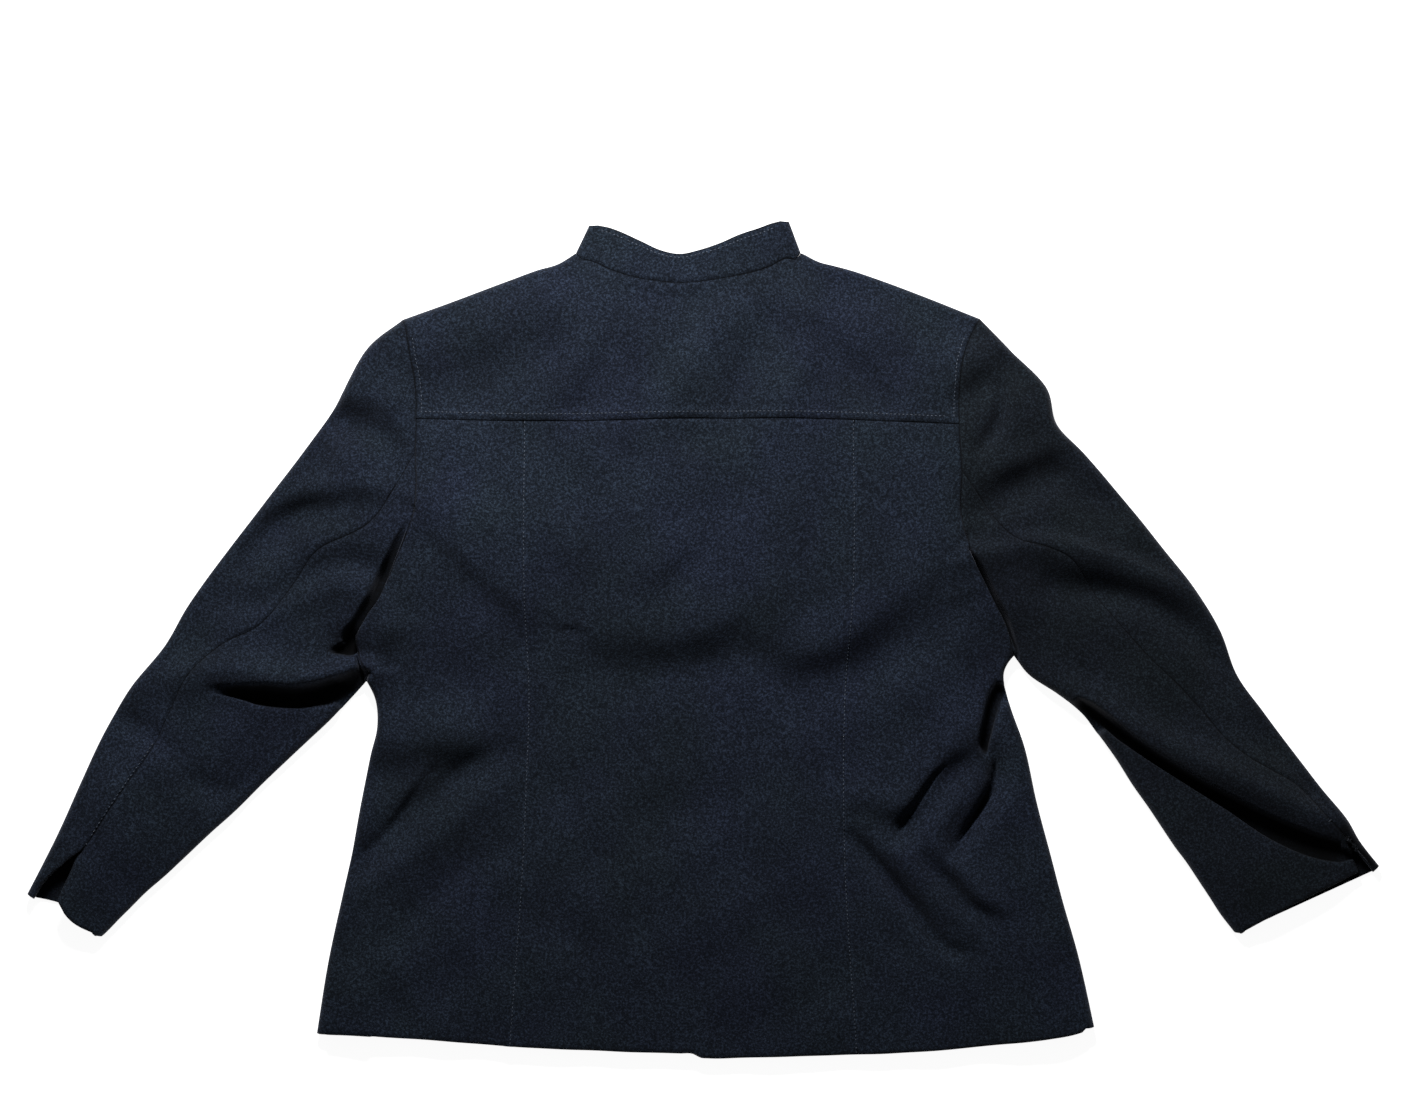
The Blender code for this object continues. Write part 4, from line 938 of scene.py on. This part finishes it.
def yoke_grid():
    """The yoke's cloth on top, from its seam up to the shoulders and the neck, and the shoulders' rolls."""
    over = np.unique(np.concatenate([spaced(YOKE_WIDTH, CELL), [SHOULDER_PART, 1 - SHOULDER_PART]]))
    up = spaced(YOKE_HEIGHT, CELL)
    left_seam, right_seam = (PRINCESS[hand][-1][1] for hand in HANDS)
    foot_left, foot_right = body_end("left", 0), body_end("right", 0)
    stops = [foot_left[0], left_seam, right_seam, foot_right[0]]
    x = np.interp(over, [0, SIDE_PART, 1 - SIDE_PART, 1], stops)
    foot = np.stack([x, smooth(YOKE_SEAM, x)], axis=-1)
    foot[0], foot[-1] = foot_left, foot_right
    top = []
    for share in over:
        if share <= SHOULDER_PART:
            top.append(shoulder_end("left", share / SHOULDER_PART)[0])
        elif share >= 1 - SHOULDER_PART:
            top.append(shoulder_end("right", (1 - share) / SHOULDER_PART)[0])
        else:
            top.append(neck_places((share - SHOULDER_PART) / (1 - 2 * SHOULDER_PART)))
    top = np.array(top)
    left, right = armhole("left", 1 - up), armhole("right", 1 - up)
    over, up = over[None, :, None], up[:, None, None]
    places = ((1 - over) * left[:, None] + over * right[:, None] + (1 - up) * foot[None] + up * top[None]
              - (1 - over) * ((1 - up) * foot[0] + up * top[0]) - over * ((1 - up) * foot[-1] + up * top[-1]))
    grid = settle(places)
    above = grid[..., 1] - smooth(YOKE_SEAM, grid[..., 0])
    grid[..., 2] += YOKE_PROUD * (1 - ease((above - YOKE_BAND + YOKE_FALL / 2) / YOKE_FALL))
    shares = over[0, :, 0]
    rolls = []
    for hand, part in (("left", shares / SHOULDER_PART), ("right", (1 - shares) / SHOULDER_PART)):
        along = part <= 1 + ROUNDING
        rolls.append(np.array([roll(point, shoulder_end(hand, share)[1])
                               for point, share in zip(grid[-1, along], part[along])]))
    return grid, rolls


yoke, shoulder_rolls = yoke_grid()
back_yoke = cloth_piece("back_yoke_cloth", [(yoke, (0, 0))] + [(grid, (0, 0)) for grid in shoulder_rolls])
places = np.stack([YOKE_STITCHES, smooth(YOKE_SEAM, YOKE_STITCHES) + YOKE_STITCH_IN], axis=-1)
yoke_rows = [stitch_row("yoke_topstitch", on_grid(yoke, places))]
for hand in HANDS:
    places = armhole(hand, ARMHOLE_STITCHES)
    places[:, 0] -= SIGN[hand] * ARMHOLE_STITCH_IN
    yoke_rows.append(stitch_row("armhole_topstitch_" + hand, on_grid(yoke, places)))
finish_cloth(back_yoke, "back_yoke")

# Collar: a stand of one doubled band round the neck, lying on itself, with its edge stitched.
# Its back half shows; the front half lies on the table under the back and meets edge to edge.

COLLAR_EDGE = [(-71, 313), (-63, 310), (-48, 303), (-33, 296), (-18, 293), (-3, 296), (12, 301),
               (28, 308), (43, 313), (51, 316)]
FRONT_NECK = (-8, 216)
FRONT_COLLAR_TOP = (-8, 245)
COLLAR_HEIGHT = 13.0    # of the edge at its two tips
COLLAR_ARCH = 5.0       # and how much higher it lies between them
COLLAR_LENGTH = 165.0
COLLAR_DEPTH = 24.0
COLLAR_CELL = 1.6
COLLAR_STITCH = 0.86    # share of the way up the band where its stitches run
FRONT_COLUMNS = 40
HIDDEN = FRONT_COLUMNS + ROLL_STEPS     # columns from the centre front to where the back half starts
COLLAR_UP = (2, HIDDEN + 20)            # a facet of the back half, which looks up
COLLAR_STITCH_IN = 3    # columns from the back half's ends to where its stitches start and stop


def collar_grid():
    """The band from the centre front round the left, the back and the right to the centre front."""
    share = spaced(COLLAR_LENGTH, COLLAR_CELL, ends=(False, False))
    places = neck_places(share)
    seam = settle(places)
    outward = {hand: np.array([SIGN[hand], 0.0]) for hand in COLLAR_TIP}
    tips = {hand: np.array(COLLAR_TIP[hand]) - ROLL * outward[hand] for hand in COLLAR_TIP}
    x = tips["left"][0] + (tips["right"][0] - tips["left"][0]) * share
    edge_rows = [tuple(tips["left"])] + COLLAR_EDGE + [tuple(tips["right"])]
    edge = np.stack([x, smooth(edge_rows, x), COLLAR_HEIGHT + COLLAR_ARCH * np.sin(math.pi * share)], axis=-1)
    turns = np.linspace(0, math.pi / 2, FRONT_COLUMNS + 1)

    def front_half(start, end):
        return np.stack([start[0] + (end[0] - start[0]) * (1 - np.cos(turns)),
                         start[1] + (end[1] - start[1]) * np.sin(turns), turns * 0], axis=-1)

    lower, upper = [], []
    for hand, seam_end, edge_end in (("left", seam[0], edge[0]), ("right", seam[-1], edge[-1])):
        lower.append(np.concatenate([roll(seam_end, corner_direction(hand, "neck")),
                                     front_half(seam_end, FRONT_NECK)[1:]]))
        upper.append(np.concatenate([roll(edge_end, outward[hand]),
                                     front_half(edge_end, FRONT_COLLAR_TOP)[1:]]))
    lower_line = np.concatenate([lower[0][::-1], seam[1:-1], lower[1]])
    upper_line = np.concatenate([upper[0][::-1], edge[1:-1], upper[1]])
    up = spaced(COLLAR_DEPTH, COLLAR_CELL)[:, None, None]
    return lower_line * (1 - up) + upper_line * up


collar = collar_grid()
collar_stand = cloth_piece("collar_stand_cloth", [(collar, COLLAR_UP)])
edge_line = collar[-1] * COLLAR_STITCH + collar[0] * (1 - COLLAR_STITCH)
shown = slice(HIDDEN + COLLAR_STITCH_IN, -HIDDEN - COLLAR_STITCH_IN)
collar_row = stitch_row("collar_topstitch", on_grid(collar[:, shown], edge_line[shown][:, :2]))
finish_cloth(collar_stand, "collar_stand")

# Sleeves: two pieces each, the upper one outside the elbow seam and the under one inside it.
# Both roll over a folded edge to the table, where the front sleeve seam joins them; the cuff vents are open.

# How far the under sleeve's edge stands off the upper sleeve's along the open vent: row, x, y
VENT = {
    "left": [(11, 0, 0), (12, 6, 0), (13, 13, -13)],
    "right": [(13, 0, 0), (14, -1, -1), (15, -6, -9)],
}
# How far the middle of a cuff's edge bows, how far its inner corner swings, and the bow of the layer under it
CUFF_BOW = {"left": (-2.6, -4), "right": (-0.8, 1.6)}
CUFF_SWING = {"left": (-0.7, -3.2), "right": (0, 0)}
FLOOR_CUFF_BOW = {"left": (3, 4), "right": (0, 0)}
SLEEVE_TURN = 1.5       # how fast, by rows, the roll turns from a corner's way to the sleeve's
ARMHOLE_FADE = 4.0      # rows over which the armhole's curve dies out along the sleeve
FRONT_SCOOP = 14.0      # how much further in the front armhole is cut
SLEEVE_CELL = 1.8
UPPER_WIDTH = 105.0
UNDER_WIDTH = 150.0
SLEEVE_LENGTH = 500.0
FLOOR_PART = 5 / 7      # share of the lower layer that is upper sleeve
FLOOR_COLUMNS = (9, 5)  # points across the lower layer, on the upper sleeve and on the under sleeve
YOKE_STAGE = 7 / 9      # share of the upper sleeve's top edge that the yoke takes
ELBOW_COLUMN = 4        # the column of the upper sleeve's grid that its stitches follow, 3.7 mm from the seam
FOREARM_START = 170     # the row where the left sleeve's start
FOREARM_PITCH = 3.6
CUFF_ROUND = 0.3        # rows over which the corner of a cuff rounds off
CUFF_IN = 0.45          # how far the roll draws in there
CUFF_DOWN = 0.05        # and how far it turns down the sleeve
BAR_PITCH = 1.3         # of the bar of stitches over a vent
BAR_POINTS = 10         # points along it
BAR_ABOVE = 2           # rows from it down to the vent's top
SLEEVE_UP = 5           # the column of a facet that looks up, half way down a sleeve
SLEEVE_PAINTED_SHADE = {"left": "#ffffff", "right": "#dad8ce"}    # painted shade: the right sleeve is tinted darker and greyer, as it is turned away from the light


def front_armhole(side, share):
    """Places on the front armhole, on the table, from the shoulder to the underarm."""
    top, low = corner(side, "shoulder"), corner(side, "underarm")
    y = top[1] + (low[1] - top[1]) * share
    x = smooth(ARMHOLE_ROWS[side], y) - SIGN[side] * FRONT_SCOOP * np.sin(math.pi * share)
    return np.stack([x, y], axis=-1)


def sleeve(side):
    """Grids of the upper and the under sleeve, from the elbow seam over a fold to the front seam."""
    last = len(SLEEVE[side]) - 1
    vent = VENT[side]
    rows = spaced(SLEEVE_LENGTH, SLEEVE_CELL) * last
    outer_share = spaced(UPPER_WIDTH, SLEEVE_CELL, ends=(False, True))
    inner_share = spaced(UNDER_WIDTH, SLEEVE_CELL, ends=(True, False))
    floor_upper = np.linspace(0, FLOOR_PART, FLOOR_COLUMNS[0])
    floor_under = np.linspace(FLOOR_PART, 1, FLOOR_COLUMNS[1])
    stage = np.interp(outer_share, [0, YOKE_STAGE, 1], [0, 1, 2])
    armhole_upper = armhole(side, stage)
    armhole_under = armhole(side, 2 + inner_share)
    first_outer, first_seam, first_inner = armhole_upper[0], armhole_upper[-1], armhole_under[-1]
    floor_share = np.concatenate([floor_upper, floor_under])
    outer_bow = armhole_upper - (first_outer + (first_seam - first_outer) * outer_share[:, None])
    inner_bow = armhole_under - (first_seam + (first_inner - first_seam) * inner_share[:, None])
    floor_bow = front_armhole(side, floor_share)
    floor_bow = floor_bow - (first_outer + (first_inner - first_outer) * floor_share[:, None])
    at_shoulder, at_underarm = corner_direction(side, "shoulder"), corner_direction(side, "underarm")
    down = unit(sleeve_line(side, 2, last) - sleeve_line(side, 2, last - 1))
    tops, unders, floors, ways = [], [], [], []
    for row in rows:
        close = math.exp(-row * SLEEVE_TURN)
        outer_way = unit(sleeve_normal(side, 0, row) * (1 - close) + at_shoulder * close)
        inner_way = unit(sleeve_normal(side, 2, row) * (1 - close) + at_underarm * close)
        outer = sleeve_line(side, 0, row) - ROLL * outer_way
        inner = sleeve_line(side, 2, row) - ROLL * inner_way
        seam = sleeve_line(side, 1, row)
        opened = np.array([np.interp(row, [v[0] for v in vent], [v[i] for v in vent]) for i in (1, 2)])
        fade = max(0.0, 1 - row / ARMHOLE_FADE) ** 2
        near_cuff = ease((row - vent[0][0]) / (last - vent[0][0]))
        rounded = ease((row - last + CUFF_ROUND) / CUFF_ROUND)
        upper = outer + (seam - outer) * outer_share[:, None] + fade * outer_bow
        under = seam + opened + (inner - seam - opened) * inner_share[:, None] + fade * inner_bow
        under = under + near_cuff * np.array(CUFF_BOW[side]) * np.sin(math.pi * inner_share[:, None])
        under = under + near_cuff * np.array(CUFF_SWING[side]) * inner_share[:, None] ** 2
        floor = outer + (inner - outer) * floor_share[:, None] + fade * floor_bow
        floor = floor + near_cuff * np.array(FLOOR_CUFF_BOW[side]) * np.sin(math.pi * floor_share[:, None])
        tops.append(upper)
        unders.append(under)
        floors.append(floor)
        ways.append((outer_way, inner_way * (1 - CUFF_IN * rounded) + down * CUFF_DOWN * rounded))
    tops, unders, floors = np.array(tops), np.array(unders), np.array(floors)
    tops = settle(tops)
    unders = settle(unders)
    floors = np.concatenate([floors, np.zeros(floors.shape[:2] + (1,))], axis=-1)
    split = len(floor_upper)
    outer_rolls = np.array([roll(line[0], way[0]) for line, way in zip(tops, ways)])
    inner_rolls = np.array([roll(line[-1], way[1]) for line, way in zip(unders, ways)])
    upper = np.concatenate([tops[:, ::-1], outer_rolls[:, 1:-1], floors[:, :split]], axis=1)
    under = np.concatenate([unders, inner_rolls[:, 1:-1], floors[:, split:][:, ::-1]], axis=1)
    return upper, under, int(np.searchsorted(rows, vent[0][0]))


for hand, upper_area, under_area in (("left", 0.066, 0.041), ("right", 0.070, 0.044)):
    upper_grid, under_grid, apex = sleeve(hand)
    upper_piece = cloth_piece("upper_sleeve_" + hand + "_cloth",
                              [(upper_grid, (len(upper_grid) // 2, SLEEVE_UP))])
    row = apex - BAR_ABOVE
    bar = np.linspace(upper_grid[row, ELBOW_COLUMN], under_grid[row, ELBOW_COLUMN], BAR_POINTS)
    bar_up = np.repeat(on_column(upper_grid, ELBOW_COLUMN)[row:row + 1, 3:], BAR_POINTS, axis=0)
    elbow_rows = [stitch_row("vent_bar_" + hand, np.concatenate([bar, bar_up], axis=1), BAR_PITCH)]
    if hand == "left":
        forearm = on_column(upper_grid, ELBOW_COLUMN)[FOREARM_START:row - 1]
        elbow_rows.append(stitch_row("forearm_topstitch", forearm, FOREARM_PITCH))
    finish_cloth(upper_piece, "upper_sleeve_" + hand,
                 SLEEVE_PAINTED_SHADE[hand])
    under_piece = cloth_piece("under_sleeve_" + hand + "_cloth",
                              [(under_grid, (len(under_grid) // 2, SLEEVE_UP))])
    finish_cloth(under_piece, "under_sleeve_" + hand,
                 painted_shade_tint=SLEEVE_PAINTED_SHADE[hand])

# Fronts: plain, flat on the table under the back, and edge to edge down the middle. Only the right one's hem
# shows, just below the back's. Wool crepe, with its cut edges rounded.

FRONT_HEM_CENTRE = (-2, -316)
LEFT_HEM_SHORT = 2.0    # how far the left hem lies above the back's
RIGHT_HEM_SHOWS = 0.8   # how far the right one's lies below it
HEM_TURN = 0.1          # share of a hem over which it leaves the side's
OUTLINE_POINTS = 60     # points along an armhole or a hem
SIDE_STRIDE = 3         # rows of the side back to one point of the outline
SAME_POINT = 0.05       # points closer than this are one
FRONT_ROUND = 0.5 * MM


def front(side, side_grid):
    """A thick sheet, outlined from the neck round the shoulder, the armhole, the side and the hem."""
    neck = collar[0, :FRONT_COLUMNS + 1] if side == "left" else collar[0, -FRONT_COLUMNS - 1:][::-1]
    shoulder = np.array([shoulder_end(side, part)[0] for part in np.linspace(1, 0, FRONT_COLUMNS)[1:]])
    share = np.linspace(0, 1, OUTLINE_POINTS)[1:]
    arm = front_armhole(side, share)
    column = 0 if side == "left" else -1
    folded = side_grid[BODY_STAGES >= 2, column][1::SIDE_STRIDE]
    edge = np.concatenate([folded[:-1], [side_grid[-1, column]]])
    x = edge[-1][0] + (FRONT_HEM_CENTRE[0] - edge[-1][0]) * share
    rise = LEFT_HEM_SHORT if side == "left" else -RIGHT_HEM_SHOWS
    hem = np.stack([x, smooth(BACK_HEM, x) + rise * ease(share / HEM_TURN)], axis=-1)
    line = np.concatenate([part[:, :2] for part in (neck, shoulder, arm, edge, hem)])
    keep = np.ones(len(line), bool)
    keep[1:] = np.linalg.norm(np.diff(line, axis=0), axis=1) > SAME_POINT
    line = line[keep]
    area = np.sum(line[:, 0] * np.roll(line[:, 1], -1) - np.roll(line[:, 0], -1) * line[:, 1])
    if area < 0:
        line = line[::-1]
    back = np.roll(line, 1, axis=0) - line
    ahead = np.roll(line, -1, axis=0) - line
    way = np.stack([-(ahead - back)[:, 1], (ahead - back)[:, 0]], axis=-1)
    line = line + way / np.linalg.norm(way, axis=1)[:, None] * SEAM_GAP
    mesh = bmesh.new()
    low = [mesh.verts.new((x * MM, y * MM, 0.0)) for x, y in line]
    high = [mesh.verts.new((x * MM, y * MM, CLOTH * MM)) for x, y in line]
    mesh.faces.new(low[::-1])
    mesh.faces.new(high)
    for i in range(len(line)):
        j = (i + 1) % len(line)
        mesh.faces.new([low[i], low[j], high[j], high[i]])
    data = bpy.data.meshes.new("front_" + side + "_cloth")
    mesh.to_mesh(data)
    mesh.free()
    piece = bpy.data.objects.new("front_" + side + "_cloth", data)
    bpy.context.scene.collection.objects.link(piece)
    bpy.context.view_layer.objects.active = piece
    piece.select_set(True)
    rounding = piece.modifiers.new("round", "BEVEL")
    rounding.width = FRONT_ROUND
    rounding.segments = 2
    rounding.limit_method = "ANGLE"
    rounding.angle_limit = math.radians(60)
    bpy.ops.object.modifier_apply(modifier="round")
    piece.modifiers.new("flats", "TRIANGULATE")
    bpy.ops.object.modifier_apply(modifier="flats")
    bpy.ops.object.select_all(action="DESELECT")
    piece.data.attributes.new("dark", "FLOAT", "POINT")
    return piece


front_left = front("left", side_left_grid)
finish_cloth(front_left, "front_left")
front_right = front("right", side_right_grid)
finish_cloth(front_right, "front_right")

# The table, the light and the camera: a table covered in white paper, one soft lamp beyond the collar on
# the left, and a camera straight above, as in the photograph.

TABLE_SIZE = 6.0        # from here on in metres
UNDER_THE_CLOTH = 0.0004
LAMP_PLACE = (-0.14, 0.95, 0.87)
CAMERA_PLACE = (-0.00228, 0.06194, 3.0)
LENS = 101.16

bpy.ops.mesh.primitive_plane_add(size=TABLE_SIZE, location=(0, 0, -UNDER_THE_CLOTH))
table = bpy.context.object
table.name = "table"
bpy.ops.object.transform_apply(location=True, rotation=True, scale=True)
paper, paper_tree, paper_shader, paper_place = new_material("white_paper")
pulp = add_node(paper_tree, "ShaderNodeTexNoise", {"Vector": paper_place, "Scale": 60.0})
pulp_tone = add_node(paper_tree, "ShaderNodeMapRange", {"Value": pulp.outputs["Fac"], "To Min": 0.58,
                                                        "To Max": 0.62})
set_inputs(paper_tree, paper_shader, {"Base Color": pulp_tone.outputs["Result"], "Roughness": 0.9,
                                      "Emission Color": (1, 1, 1, 1), "Emission Strength": 0.92})
table.data.materials.append(paper)

world = bpy.data.worlds.new("studio")
bpy.context.scene.world = world
world.use_nodes = True
set_inputs(world.node_tree, world.node_tree.nodes["Background"], {"Color": (1, 1, 1, 1), "Strength": 0.08})

lamp_data = bpy.data.lights.new("softbox", "AREA")
lamp_data.shape = "RECTANGLE"
lamp_data.size = 0.34
lamp_data.size_y = 0.3
lamp_data.energy = 25.0
lamp = bpy.data.objects.new("softbox", lamp_data)
bpy.context.scene.collection.objects.link(lamp)
lamp.location = LAMP_PLACE
lamp.rotation_euler = (-lamp.location).to_track_quat("-Z", "Y").to_euler()

camera_data = bpy.data.cameras.new("camera")
camera_data.lens = LENS
camera_data.sensor_width = 36.0
camera = bpy.data.objects.new("camera", camera_data)
bpy.context.scene.collection.objects.link(camera)
camera.location = CAMERA_PLACE
bpy.context.scene.camera = camera
bpy.context.scene.view_settings.view_transform = "Standard"
